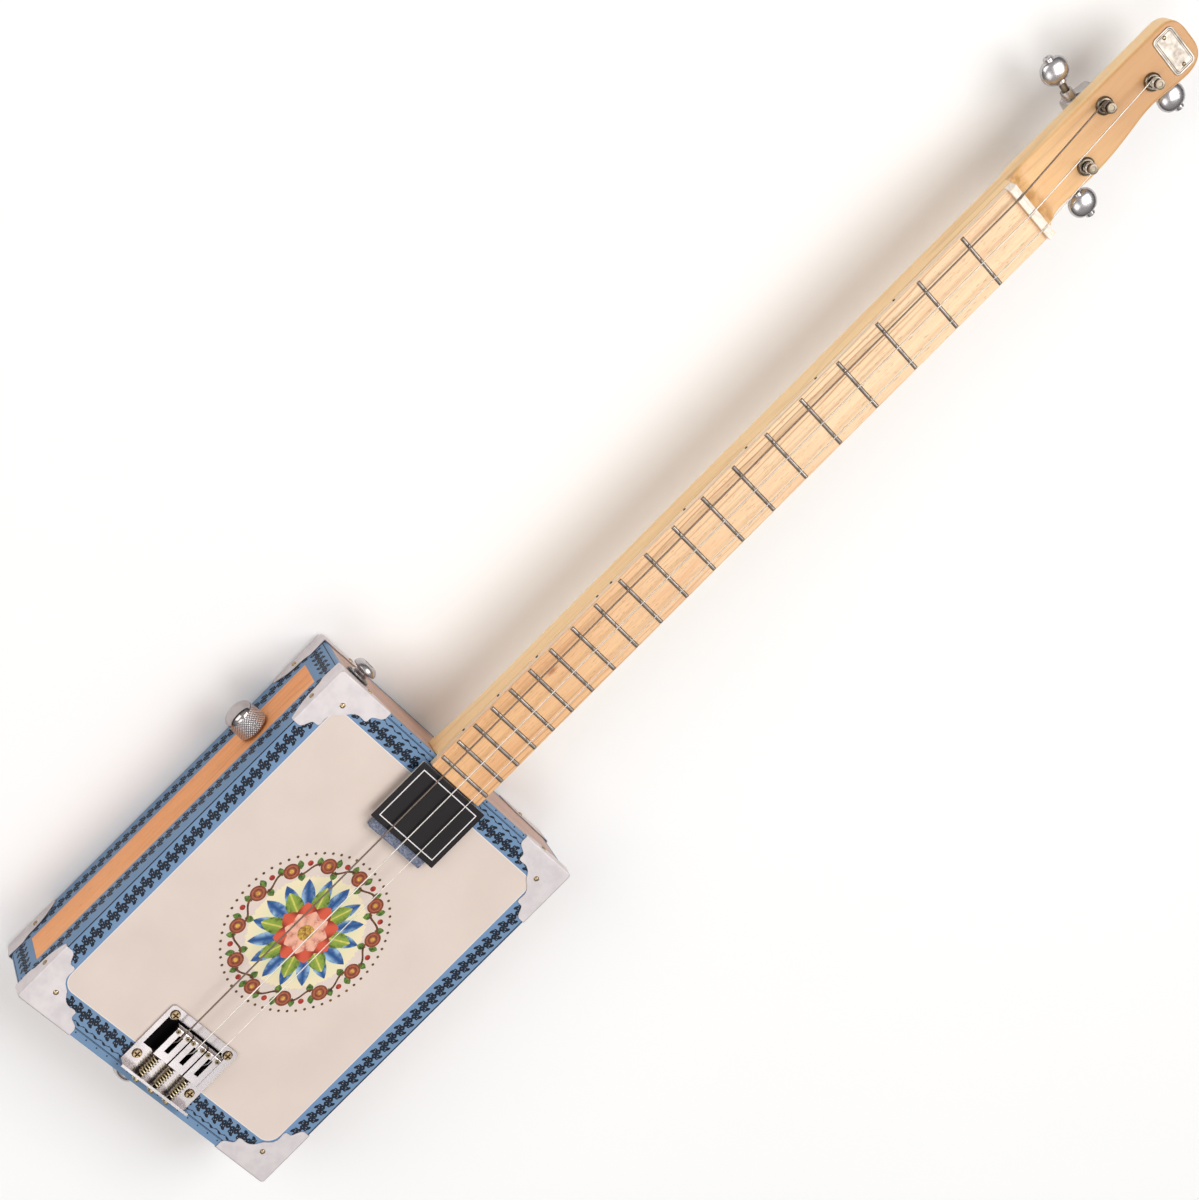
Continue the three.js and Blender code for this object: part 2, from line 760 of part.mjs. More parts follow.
function fretboardPiece() {
  const board = block([-halfNeck, halfNeck], [fretboardEnd, nutFront], [boxTop, fretboardTop]);
  const half = fret.crownWidth / 2;
  const shoulder = half * fret.shoulderShare;
  const rise = fret.crownHeight * fret.shoulderRise;
  const profile = [
    [-half, -gap], [half, -gap], [half, 0], [shoulder, rise], [0, fret.crownHeight],
    [-shoulder, rise], [-half, 0],
  ];
  const halfFret = halfNeck - fret.lengthInset;
  const frets = [];
  for (let number = 1; number <= fretCount; number += 1) {
    const bar = plate(profile, -halfFret, halfFret).rotateX(Math.PI / 2).rotateZ(Math.PI / 2);
    frets.push(bar.translate(0, fretY(number), fretboardTop));
  }
  add('fretboard', join([board, ...frets]), fretboardMaple);
}

function stringX(number, spacing) {
  return (number - (stringCount - 1) / 2) * spacing;
}

const nutTop = boxTop + nutHeight;
const nutSlotFloor = nutTop - nutSlotDepth;

function nutPiece() {
  const fall = nutSlotDepth;
  const profile = [
    [nutFront, boxTop], [nutRear, boxTop], [nutRear, nutTop - fall], [nutFront + nutLength / 2, nutTop],
    [nutFront, nutTop],
  ];
  const body = plate(profile, -halfNeck, halfNeck).rotateX(Math.PI / 2).rotateZ(Math.PI / 2);
  const slots = stringDiameters.map((diameter, i) => {
    const x = stringX(i, stringSpacingAtNut);
    const half = diameter / 2 + gap;
    const along = [nutFront - overrun, nutRear + overrun];
    return block([x - half, x + half], along, [nutSlotFloor, nutTop + overrun]);
  });
  add('nut', cut(body, slots), bone);
}

// Tuner pieces, in the tuner's own axes: +X to the button, origin on the head's back at the post

function housing(hand) {
  const wall = tuner.wallThickness;
  const [low, high] = [-cavityReach - wall, cavityWormSide + wall];
  const r = tuner.housingRounding;
  const reach = cavityReach + wall;
  const shape = new THREE.Shape();
  shape.moveTo(-reach + r, low);
  shape.lineTo(reach - r, low);
  shape.absarc(reach - r, low + r, r, -Math.PI / 2, 0, false);
  shape.lineTo(reach, high - r);
  shape.absarc(reach - r, high - r, r, 0, Math.PI / 2, false);
  shape.lineTo(-reach + r, high);
  shape.absarc(-reach + r, high - r, r, Math.PI / 2, Math.PI, false);
  shape.lineTo(-reach, low + r);
  shape.absarc(-reach + r, low + r, r, Math.PI, Math.PI * 1.5, false);
  const depth = tuner.cavityHeight + 2 * wall;
  const shell = new THREE.ExtrudeGeometry(shape, { depth, curveSegments: 2, bevelEnabled: false })
    .translate(0, 0, -depth);
  const tabHalf = tuner.tabLength / 2 + gap;
  const tab = block([-tabHalf, tabHalf], [low - tuner.tabLength, low + overrun], [-tuner.tabThickness, 0]);
  const collar = aim.treble(turned([
    [0, -overrun], [tuner.collarRadius, -overrun], [tuner.collarRadius, 0],
    [tuner.collarMouthRadius, tuner.collarLength], [0, tuner.collarLength],
  ], 12)).translate(reach, wormOffset, gearLevel);
  const cavity = block([-cavityReach, cavityReach], [-cavityReach, cavityWormSide], [cavityFloor, cavityTop]);
  const postHole = rod(boreAroundPost, cavityTop - overrun, overrun, 12);
  const shaftHole = aim.treble(rod(tuner.shaftRadius + gap, 0, cavityReach + collarReach(), 12))
    .translate(0, wormOffset, gearLevel);
  const screw = aim.down(fastener(tunerScrew, false)).translate(0, -tunerTabHole, -tuner.tabThickness);
  const body = cut(join([shell, tab, collar, screw]), [cavity, postHole, shaftHole]);
  return closed(body.scale(1, hand, 1));
}

function collarReach() {
  return tuner.wallThickness + tuner.collarLength + overrun;
}

function postProfile() {
  const top = headThickness + tuner.postRise;
  const waistLow = headThickness + tuner.waistFrom;
  const waistHigh = headThickness + tuner.waistTo;
  const flare = (tuner.postRadius - tuner.postWaistRadius) / 2;
  return [
    [0, cavityFloor + 2 * gap], [tuner.postWaistRadius, cavityFloor + 2 * gap],
    [tuner.postWaistRadius, gearLevel - tuner.wheelThickness / 2],
    [tuner.postRadius, gearLevel + tuner.wheelThickness / 2],
    [tuner.postRadius, waistLow - flare], [tuner.postWaistRadius, waistLow],
    [tuner.postWaistRadius, waistHigh], [tuner.postRadius, waistHigh + flare],
    [tuner.postRadius, top - flare], [tuner.postWaistRadius, top], [0, top],
  ];
}

// The worm sits at the hand side of the wheel, so a gap between two teeth faces that way.
function wheel(hand) {
  const points = [];
  const step = (2 * Math.PI) / tuner.wheelTeeth;
  for (let tooth = 0; tooth < tuner.wheelTeeth; tooth += 1) {
    const middle = (hand * Math.PI) / 2 + (tooth + 1 / 2) * step;
    const root = (step * tuner.wheelToothRootShare) / 2;
    const tip = (step * tuner.wheelToothTipShare) / 2;
    [[wheelRootRadius, -root], [wheelTipRadius, -tip], [wheelTipRadius, tip], [wheelRootRadius, root]]
      .forEach(([radius, shift]) =>
        points.push([radius * Math.cos(middle + shift), radius * Math.sin(middle + shift)]));
  }
  const half = tuner.wheelThickness / 2;
  return plate(points, gearLevel - half, gearLevel + half);
}

function post(hand) {
  const level = headThickness + tuner.waistTo - tuner.stringHoleRadius - gap;
  const hole = aim.treble(rod(tuner.stringHoleRadius, -2 * tuner.postRadius, 2 * tuner.postRadius, 8));
  return cut(join([turned(postProfile(), 10), wheel(hand)]), [hole.translate(0, 0, level)]);
}

const postHoleLevel = headFace + tuner.waistTo - tuner.stringHoleRadius - gap;

function bushing() {
  const flangeTop = headThickness + tuner.bushFlangeHeight;
  const chamfer = tuner.bushFlangeHeight / 3;
  return turned([
    [boreAroundPost, gap], [tuner.bushBarrelRadius, gap], [tuner.bushBarrelRadius, headThickness],
    [tuner.bushFlangeRadius, headThickness], [tuner.bushFlangeRadius, flangeTop - chamfer],
    [tuner.bushFlangeRadius - chamfer, flangeTop], [boreAroundPost, flangeTop], [boreAroundPost, gap],
  ], 12);
}

// Right-handed thread about X; where it faces the wheel, the middle of a turn lies at X zero.
function thread(hand) {
  const stepsPerTurn = 8;
  const steps = tuner.threadTurns * stepsPerTurn;
  const rootRadius = tuner.wormCoreRadius - gap;
  const profile = [
    [rootRadius, -tuner.threadRootWidth / 2], [tuner.threadTipRadius, -tuner.threadTipWidth / 2],
    [tuner.threadTipRadius, tuner.threadTipWidth / 2], [rootRadius, tuner.threadRootWidth / 2],
  ];
  const sections = [];
  for (let i = 0; i <= steps; i += 1) {
    const angle = (2 * Math.PI * (i - steps / 2)) / stepsPerTurn;
    const shift = (tuner.threadPitch * angle) / (2 * Math.PI);
    sections.push(profile.map(([radius, x]) => new THREE.Vector3(
      x + shift, -hand * radius * Math.cos(angle), -hand * radius * Math.sin(angle))));
  }
  return lofted(sections);
}

function wormShaft(hand) {
  const threadEnd = (tuner.threadTurns * tuner.threadPitch) / 2 + tuner.threadRootWidth;
  const profile = [
    [0, -cavityReach + gap], [tuner.wormCoreRadius, -cavityReach + gap], [tuner.wormCoreRadius, threadEnd],
    [tuner.shaftRadius, threadEnd + gap], [tuner.shaftRadius, button.fromPost + button.boreDepth - gap],
    [0, button.fromPost + button.boreDepth - gap],
  ];
  const shaft = aim.treble(turned(profile, 8));
  return join([shaft, thread(hand)]).translate(0, hand * wormOffset, gearLevel);
}

function buttonPiece(hand) {
  const profile = buttonProfileShares.map(([across, along]) =>
    [across * button.widthRadius, along * button.length]);
  const body = aim.treble(turned(profile, button.sides)).scale(1, 1, button.flatShare);
  const hubEnd = button.length * button.hubLengthShare;
  const hub = aim.treble(turned([
    [0, 0], [button.hubRadius - gap, 0], [button.hubRadius, hubEnd / 2], [button.hubRadius / 2, hubEnd],
    [0, hubEnd],
  ], 10));
  const bore = aim.treble(rod(tuner.shaftRadius + gap, -overrun, button.boreDepth, 10));
  const capTop = button.length + button.capHeight;
  const cap = aim.treble(turned([
    [0, button.length - overrun], [button.capRadius, button.length - overrun],
    [button.capRadius, capTop - button.capHeight / 2],
    [button.capRadius * button.capTopShare, capTop], [0, capTop],
  ], 12));
  return cut(join([body, hub, cap]), [bore]).translate(button.fromPost, hand * wormOffset, gearLevel);
}

function tuners() {
  tunerPlaces.forEach((place, i) => {
    const unit = new THREE.Group();
    unit.position.set(place.x, tunerY(place), neckBack);
    unit.rotation.z = tunerTurn(place);
    model.add(unit);
    add(`tuner_housing_${i + 1}`, housing(place.hand), chrome, unit);
    add(`tuner_post_${i + 1}`, post(place.hand), chrome, unit);
    add(`tuner_worm_${i + 1}`, wormShaft(place.hand), chrome, unit);
    add(`tuner_button_${i + 1}`, buttonPiece(place.hand), chrome, unit);
    add(`tuner_bushing_${i + 1}`, bushing(), chrome, unit);
  });
}

// Bridge pieces: heights are measured from the lid
const saddleFront = bridgeFront - saddle.fromPlateFront;
const saddleRear = saddleFront - saddle.length;
const lipInner = bridgeRear + bridge.thickness;

function bridgePlate() {
  const rounding = bridge.thickness * 1.5;
  const [left, right] = [-bridge.width / 2, bridge.width / 2];
  const shape = new THREE.Shape();
  shape.moveTo(left, bridgeRear);
  shape.lineTo(right, bridgeRear);
  shape.lineTo(right, bridgeFront - rounding);
  shape.absarc(right - rounding, bridgeFront - rounding, rounding, 0, Math.PI / 2, false);
  shape.lineTo(left + rounding, bridgeFront);
  shape.absarc(left + rounding, bridgeFront - rounding, rounding, Math.PI / 2, Math.PI, false);
  const base = new THREE.ExtrudeGeometry(shape,
    { depth: bridge.thickness, curveSegments: 3, bevelEnabled: false });
  const lip = block([left, right], [bridgeRear, lipInner], [0, bridge.lipHeight]);
  const screws = bridgeScrewPlaces.map(([x, y]) =>
    fastener(bridgeScrew, true).translate(x, y, bridge.thickness));
  const lipHoles = stringDiameters.flatMap((diameter, i) => {
    const x = stringX(i, stringSpacingAtBridge);
    const screwHole = aim.tail(rod(intonation.radius + gap, -overrun, bridge.thickness + overrun, 10));
    const stringPath = aim.tail(rod(stringHole.radius, -overrun, bridge.thickness + overrun, 8));
    return [
      screwHole.translate(x, lipInner, intonation.axisHeight),
      stringPath.translate(x, lipInner, stringHole.height),
    ];
  });
  add('bridge_plate', cut(join([base, lip, ...screws]), lipHoles), chrome).position.z = boxTop;
}

// One saddle in its own axes: X zero at its string, Y and heights as the bridge's.
function saddlePiece() {
  const half = saddle.width / 2;
  const under = saddle.top - saddle.thickness;
  const bend = saddle.thickness;
  const profile = [
    [saddleRear, saddle.flangeBottom], [saddleRear + saddle.thickness, saddle.flangeBottom],
    [saddleRear + saddle.thickness, under], [saddleFront - saddle.thickness - bend, under],
    [saddleFront - saddle.thickness, under - bend / 2],
    [saddleFront - saddle.thickness, under - saddle.noseDrop],
    [saddleFront, under - saddle.noseDrop], [saddleFront, saddle.top - bend],
    [saddleFront - bend / 2, saddle.top - bend / 4], [saddleFront - bend, saddle.top],
    [saddleRear, saddle.top],
  ];
  const body = plate(profile, -half, half).rotateX(Math.PI / 2).rotateZ(Math.PI / 2);
  const slotFront = saddleFront - saddle.slotFromFront;
  const slot = block([-saddle.slotWidth / 2, saddle.slotWidth / 2],
    [slotFront - saddle.slotLength, slotFront], [under - overrun, saddle.top + overrun]);
  const widest = Math.max(...stringDiameters);
  const stringWay = block([-widest / 2 - gap, widest / 2 + gap],
    [saddleRear - overrun, saddleRear + saddle.thickness + overrun],
    [saddle.flangeBottom - overrun, stringHole.height + widest / 2 + gap]);
  const screwHole = aim.tail(rod(intonation.radius + gap, -saddle.thickness - overrun, overrun, 10))
    .translate(0, saddleRear, intonation.axisHeight);
  const [screws, sockets] = heightScrews();
  return cut(join([body, ...screws]), [slot, stringWay, screwHole, ...sockets]);
}

// The two screws that hold a saddle at its height, and their sockets
function heightScrews() {
  const top = saddle.top + heightScrew.topProud;
  const y = saddleFront - heightScrew.fromFront;
  const places = sides.map((side) => (side * heightScrew.spacing) / 2);
  const screws = places.map((x) =>
    rod(heightScrew.radius, bridge.thickness + gap, top, 8).translate(x, y, 0));
  const sockets = places.map((x) =>
    rod(heightScrew.radius / 2, top - heightScrew.radius, top + overrun, 6).translate(x, y, 0));
  return [screws, sockets];
}

function intonationScrew() {
  const tip = saddleRear + saddle.thickness + intonation.tip;
  const headUnder = bridgeRear - gap;
  const screw = turned([
    [0, headUnder - intonation.headLength],
    [intonation.headRadius * intonation.headTaperShare, headUnder - intonation.headLength],
    [intonation.headRadius, headUnder - intonation.headLength / 2], [intonation.headRadius, headUnder],
    [intonation.radius, headUnder], [intonation.radius, tip], [0, tip],
  ], 10);
  const aimed = aim.head(screw);
  const half = intonation.slotWidth / 2;
  const slot = block([-intonation.headRadius - overrun, intonation.headRadius + overrun],
    [headUnder - intonation.headLength - overrun, headUnder - intonation.headLength / 2], [-half, half]);
  return cut(aimed, [slot]).translate(0, 0, intonation.axisHeight);
}

function springPoints() {
  const tail = 2 * spring.wireRadius;
  const from = lipInner + gap;
  const to = saddleRear - gap;
  const steps = spring.curls * spring.stepsPerCurl;
  const points = [new THREE.Vector3(spring.coilRadius, from, intonation.axisHeight)];
  for (let i = 0; i <= steps; i += 1) {
    const angle = (2 * Math.PI * i) / spring.stepsPerCurl;
    const y = from + tail + ((to - from - 2 * tail) * i) / steps;
    points.push(new THREE.Vector3(spring.coilRadius * Math.cos(angle), y,
      intonation.axisHeight + spring.coilRadius * Math.sin(angle)));
  }
  points.push(new THREE.Vector3(spring.coilRadius, to, intonation.axisHeight));
  return points;
}

function saddles() {
  const points = springPoints();
  const turnLength = 2 * Math.PI * spring.coilRadius;
  const least = leastSelfGap(points, spring.wireRadius, turnLength / 2);
  console.log('least gap in a bridge spring', least.toFixed(2));
  for (let i = 0; i < stringCount; i += 1) {
    const station = new THREE.Group();
    station.position.set(stringX(i, stringSpacingAtBridge), 0, boxTop);
    model.add(station);
    add(`saddle_${i + 1}`, saddlePiece(), chrome, station);
    add(`intonation_screw_${i + 1}`, intonationScrew(), chrome, station);
    const wire = tube(points, spring.wireRadius, spring.wireSides);
    add(`intonation_spring_${i + 1}`, closed(wire), brass, station);
  }
}

// Strings: ball behind the lip, up through the saddle's slot, over saddle and nut, wound on the post

function stringPoints(number) {
  const place = tunerPlaces[number];
  const radius = stringDiameters[number] / 2;
  const bridgeX = stringX(number, stringSpacingAtBridge);
  const nutX = stringX(number, stringSpacingAtNut);
  const low = boxTop + stringHole.height;
  const top = boxTop + saddle.top + gap + radius;
  const slotFront = saddleFront - saddle.slotFromFront;
  const slotRear = slotFront - saddle.slotLength;
  const slotMargin = saddleTravel + 2 * gap;
  const rest = nutSlotFloor + gap + radius;
  const exit = new THREE.Vector3(nutX, nutRear, rest - gap / 2);
  const points = [
    new THREE.Vector3(bridgeX, bridgeRear - gap - ballRadius, low),
    new THREE.Vector3(bridgeX, bridgeRear - gap, low),
    new THREE.Vector3(bridgeX, slotRear + slotMargin, low),
    new THREE.Vector3(bridgeX, slotFront - slotMargin, top),
    new THREE.Vector3(bridgeX, saddleFront - saddle.thickness, top),
    new THREE.Vector3(nutX, nutFront, rest + gap / 2),
    new THREE.Vector3(nutX, nutFront + nutLength / 2, rest),
    exit,
  ];

  const side = place.stringSide;
  const coilRadius = tuner.postWaistRadius + gap + radius;
  const climb = 2 * radius + winding.clearance;
  const lowest = postHoleLevel - climb * winding.turns;
  const centre = new THREE.Vector3(place.x, tunerY(place), lowest);
  const across = new THREE.Vector2(centre.x - exit.x, centre.y - exit.y);
  const heading = Math.atan2(across.y, across.x);
  const first = heading + Math.PI + side * Math.acos(coilRadius / across.length());
  const steps = winding.turns * winding.stepsPerTurn;
  for (let i = 0; i <= steps; i += 1) {
    const angle = first + (side * 2 * Math.PI * i) / winding.stepsPerTurn;
    points.push(new THREE.Vector3(centre.x + coilRadius * Math.cos(angle),
      centre.y + coilRadius * Math.sin(angle), lowest + (climb * i) / winding.stepsPerTurn));
  }
  const [before, last] = points.slice(-2);
  points.push(last.clone().add(last.clone().sub(before).setLength(2 * radius)));
  return points;
}

function strings() {
  stringDiameters.forEach((diameter, i) => {
    const radius = diameter / 2;
    const points = stringPoints(i);
    const reach = Math.PI * (tuner.postWaistRadius + gap + radius);
    console.log(`least gap in winding ${i + 1}`, leastSelfGap(points, radius, reach).toFixed(2));
    const wire = tube(points, radius, winding.sides);
    const drum = rod(ballRadius, -ballLength / 2, ballLength / 2, 8);
    const ball = aim.treble(drum).translate(...points[0].toArray());
    add(`string_${i + 1}`, join([wire, ball]), i === 0 ? woundString : plainString);
  });
}

// Pickup, control, jack and wiring

const pickupPlateBottom = boxTop + pickup.padHeight;
const pickupRearY = pickupFrontY - pickup.plateLength;

function pickupPieces() {
  const halfPlate = pickup.plateWidth / 2;
  const face = block([-halfPlate, halfPlate], [pickupRearY, pickupFrontY],
    [pickupPlateBottom, pickupPlateBottom + pickup.plateThickness]);
  add('pickup_plate', face, pickupBlack);
  const halfPad = pickup.padWidth / 2;
  const padRear = pickupRearY + pickup.padShift;
  const pad = block([-halfPad, halfPad], [padRear, padRear + pickup.padLength], [boxTop, pickupPlateBottom]);
  add('pickup_body', pad, padRubber);
}

function control() {
  const unit = new THREE.Group();
  unit.position.set(-halfWidth, pot.fromBoxCentre, controlHeight);
  unit.rotation.y = -Math.PI / 2;
  model.add(unit);
  const inside = -wallThickness;
  const bore = pot.shaftRadius + gap;
  const shaftFrom = inside - pot.bodyDepth / 2;
  const can = rod(pot.bodyRadius, inside - pot.bodyDepth, inside, 20);
  const bush = rod(pot.bushRadius, inside - overrun, inside + pot.bushLength, 12);
  const hole = rod(bore, shaftFrom - gap, inside + pot.bushLength + overrun, 12);
  const lugs = [-1, 0, 1].map((k) => block(
    [-pot.bodyRadius - pot.lugLength, -pot.bodyRadius + overrun],
    [k * pot.lugSpacing - pot.lugWidth / 2, k * pot.lugSpacing + pot.lugWidth / 2],
    [inside - 2 * pot.lugThickness, inside - pot.lugThickness]));
  add('pot_body', cut(join([can, bush, ...lugs]), [hole]), steel, unit);
  const nut = plate(regularPolygon(pot.nutRadius, 6), 0, pot.nutThickness);
  const nutHole = rod(pot.bushRadius + gap, -overrun, pot.nutThickness + overrun, 12);
  add('pot_nut', cut(nut, [nutHole]), steel, unit);
  add('pot_shaft', rod(pot.shaftRadius, shaftFrom, pot.shaftLength, 12), steel, unit);

  const base = knob.underGap;
  const top = base + knob.height;
  const domeFrom = top - knob.domeHeight;
  const domeSteps = 4;
  const rim = knob.radius * knob.rimShare;
  const profile = [[0, base], [knob.radius, base], [knob.radius, base + overrun], [rim, domeFrom]];
  for (let i = 1; i < domeSteps; i += 1) {
    const angle = ((Math.PI / 2) * i) / domeSteps;
    profile.push([rim * Math.cos(angle), domeFrom + knob.domeHeight * Math.sin(angle)]);
  }
  profile.push([0, top]);
  const recess = rod(pot.nutRadius + 2 * gap, -overrun, base + knob.recessDepth, 16);
  const shaftBore = rod(pot.shaftRadius + gap, 0, pot.shaftLength + gap, 12);
  add('volume_knob', cut(turned(profile, 24), [recess, shaftBore]), chrome, unit);
}

function outputJack() {
  const unit = new THREE.Group();
  unit.position.set(jack.x, -halfLength, controlHeight);
  unit.rotation.x = Math.PI / 2;
  model.add(unit);
  const inside = -wallThickness;
  const can = rod(jack.canRadius, inside - jack.canLength, inside, 16);
  const barrel = rod(jack.barrelRadius, inside - overrun, inside + jack.barrelLength - overrun, 12);
  const bore = rod(jack.boreRadius, inside - jack.canLength + overrun, inside + jack.barrelLength, 12);
  add('jack_body', cut(join([can, barrel]), [bore]), steel, unit);
  const nut = plate(regularPolygon(jack.nutRadius, 6), 0, jack.nutThickness);
  const nutHole = rod(jack.barrelRadius + gap, -overrun, jack.nutThickness + overrun, 12);
  add('jack_nut', cut(nut, [nutHole]), chrome, unit);
}

// Lead routes
const leadFloor = backThickness + leadRun.aboveBack;
const lugX = leadRun.fromWall - halfWidth;
const lugLevel = controlHeight - pot.bodyRadius - pot.lugLength - leadRun.lugGap;

function bends(shares, from, to) {
  return shares.map((share) => share.map((part, axis) => from[axis] + part * (to[axis] - from[axis])));
}

function pickupLeadRoute() {
  const level = lidBottom - leadChannelDepth * leadChannelShare;
  const inHole = (depth, across) => [leadHole.x - across, leadHoleY, depth];
  const channelEnd = [-tenonWidth / 2 - leadHoleRadius, leadHoleY, level];
  const lug = [lugX, pot.fromBoxCentre, lugLevel];
  return [
    inHole(boxTop - leadRun.underLid, 0),
    inHole(lidBottom + gap, 0),
    inHole(lidBottom - leadRadius - gap, leadRadius / 2),
    inHole(level + gap, 2 * leadRadius),
    channelEnd,
    ...bends(pickupBendShares, [channelEnd[0], leadHoleY, leadFloor], [lugX, pot.fromBoxCentre, level]),
    [lug[0], lug[1], lug[2] - leadRun.lugDrop],
    lug,
  ];
}

function jackLeadRoute() {
  const lug = [lugX, pot.fromBoxCentre - pot.lugSpacing, lugLevel];
  const canEnd = -halfLength + wallThickness + jack.canLength + leadRun.lugGap;
  return [
    lug,
    [lug[0], lug[1], lug[2] - leadRun.lugDrop],
    ...bends(jackBendShares, [lug[0], lug[1], leadFloor], [jack.x, canEnd, controlHeight]),
    [jack.x, canEnd, controlHeight],
  ];
}

function lead(route) {
  const points = route.map((point) => new THREE.Vector3(...point));
  const curve = new THREE.CatmullRomCurve3(points, false, 'centripetal');
  return closed(tube(curve.getSpacedPoints(leadRun.segments), leadRadius, leadRun.sides));
}

function strapPieces() {
  const profile = strapProfileShares.map(([across, along]) => [across * strap.radius, along * strap.height]);
  const recessFloor = strap.height - strapScrew.headHeight - gap;
  const recess = rod(strapScrew.headRadius + gap, recessFloor, strap.height + overrun, strapScrew.sides);
  const screw = fastener({ ...strapScrew, shankLength: strapScrew.shankLength + recessFloor }, true);
  const body = join([cut(turned(profile, strap.sides), [recess]), screw.translate(0, 0, recessFloor)]);
  const washer = cut(rod(strap.feltRadius, 0, strap.feltThickness, strap.sides),
    [rod(strapScrew.shankRadius + gap, -overrun, strap.feltThickness + overrun, strapScrew.sides)]);
  strapPlaces.forEach((place) => {
    const seat = (geometry, height) =>
      place.aim(geometry.clone().translate(0, 0, height)).translate(place.x, place.y, place.z);
    add(`strap_button_${place.name}`, seat(body, strap.feltThickness), chrome);
    add(`strap_felt_${place.name}`, seat(washer, 0), felt);
  });
}

boxBoards();
cornerHardware();
add('neck', neckPiece(), maple);
fretboardPiece();
nutPiece();
headPlatePiece();
tuners();
bridgePlate();
saddles();
pickupPieces();
control();
outputJack();
add('pickup_lead', lead(pickupLeadRoute()), leadPlastic);
add('jack_lead', lead(jackLeadRoute()), leadPlastic);
strapPieces();
strings();

export default model;
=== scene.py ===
"""Looks of a three-string cigar box guitar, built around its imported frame.

Sizes are in millimetres, and become metres where a mesh is made. Profiles are pairs of radius and height.
"""

import json
import math
from contextlib import contextmanager

import bmesh
import bpy
from mathutils import Matrix, Vector


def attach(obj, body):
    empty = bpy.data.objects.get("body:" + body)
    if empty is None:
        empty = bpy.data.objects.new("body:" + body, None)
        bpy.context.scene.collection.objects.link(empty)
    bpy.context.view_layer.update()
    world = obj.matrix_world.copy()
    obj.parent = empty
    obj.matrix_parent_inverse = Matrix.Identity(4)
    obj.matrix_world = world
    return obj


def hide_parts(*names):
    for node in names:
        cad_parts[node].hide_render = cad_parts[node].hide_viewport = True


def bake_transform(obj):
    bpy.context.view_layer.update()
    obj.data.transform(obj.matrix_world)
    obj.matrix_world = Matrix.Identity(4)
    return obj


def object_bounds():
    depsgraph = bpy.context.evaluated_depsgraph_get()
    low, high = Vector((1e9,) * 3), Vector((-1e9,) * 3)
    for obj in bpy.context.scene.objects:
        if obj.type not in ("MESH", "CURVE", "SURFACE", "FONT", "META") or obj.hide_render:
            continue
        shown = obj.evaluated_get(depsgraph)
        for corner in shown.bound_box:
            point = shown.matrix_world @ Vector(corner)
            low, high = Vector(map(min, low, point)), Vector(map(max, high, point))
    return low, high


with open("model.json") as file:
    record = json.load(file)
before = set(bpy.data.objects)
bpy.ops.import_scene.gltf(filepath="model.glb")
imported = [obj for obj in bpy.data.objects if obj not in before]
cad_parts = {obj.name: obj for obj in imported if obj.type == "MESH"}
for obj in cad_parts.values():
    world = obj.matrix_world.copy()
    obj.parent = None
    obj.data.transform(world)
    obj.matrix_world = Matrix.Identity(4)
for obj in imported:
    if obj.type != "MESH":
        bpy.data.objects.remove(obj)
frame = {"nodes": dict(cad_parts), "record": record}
frame_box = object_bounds()

# Units
MM = 0.001
WELD = 1e-6

# Camera, at the photograph's angle
CAMERA_PLACE = (-653.0, 278.59, 1360.91)
CAMERA_VIEW = (0.4393, -0.02179, -0.89807)
CAMERA_UP = (-0.62882, 0.70649, -0.32474)
CAMERA_LENS = 79.48
CAMERA_SENSOR = 36.0

# Box
HALF_WIDTH = 94.0
HALF_LENGTH = 123.7
BOX_TOP = 58.0
LID_BOTTOM = 54.8
BOX_CORNER_ROUNDING = 2.6
BOARD_EDGE = 0.35

# Neck, fretboard and head
HALF_NECK = 19.05
NECK_BACK = 38.9
NECK_ROUNDING = 6.35
HEEL_DEPTH = 5.0
HEEL_LENGTH = 42.0
TENON_HALF = 18.0
TENON_END = -119.4
FRETBOARD_END = 118.3
FRETBOARD_TOP = 63.3
SCALE = 635.0
NUT_FRONT = 561.0
NUT_REAR = 566.2
NUT_SLOT_FLOOR = 65.3
HEAD_LENGTH = 129.0
HEAD_FACE = 52.0
HEAD_EDGE = 2.2
HEAD_BACK_EDGE = 3.0
SCOOP_LENGTH = 12.5
HEAD_OUTLINE_SHARES = (
    (0, 1, 0.985), (0.03, 1, 0.95), (0.075, 1, 0.92), (0.13, 1, 0.91), (0.22, 1, 0.935), (0.32, 1, 0.95),
    (0.43, 1, 0.905), (0.54, 1, 0.8), (0.62, 1, 0.71), (0.69, 1, 0.68), (0.76, 1, 0.705), (0.83, 1, 0.765),
    (0.89, 1, 0.79), (0.93, 0.985, 0.75), (0.96, 0.91, 0.66), (0.98, 0.79, 0.52), (0.993, 0.6, 0.33),
    (1, 0.36, 0.14),
)
CORNER_STEPS = 6
HEEL_STEPS = 14
CRISP_EDGE = 0.25
TIP_FROM = 0.985
HEAD_PLATE = {"across_share": -0.12, "along_share": 0.9, "length": 26.4, "width": 14.6, "rise": 0.7,
              "rounding": 3.0, "screw_from_end": 3.3}
PLATE_STEPS = ((1.0, 0), (0.25, -0.3), (0.7, 0), (0.25, 0.22))
PLATE_SCREW = {"shank": ((0, -0.5), (1.3, -0.5)), "radius": 1.3, "height": 0.95, "sunk": 0.3}
QUARTERS = ((1, 1), (-1, 1), (-1, -1), (1, -1))
GAP = 0.3
FRET_COUNT = 20
FRET_HALF_WIDTH = 1.2
FRET_HEIGHT = 1.0
FRET_INSET = 0.6
FRET_SUNK = 0.05
FRET_ENDS = ((0, 0.35), (0.35, 0.85), (0.9, 1))
DOT_HEIGHT = 59.7
DOT_PROFILE = ((0, -0.5), (0.95, -0.5), (0.95, 0.06), (0.76, 0.12), (0, 0.12))
DOUBLE_DOT = (-5.3, 5.3)
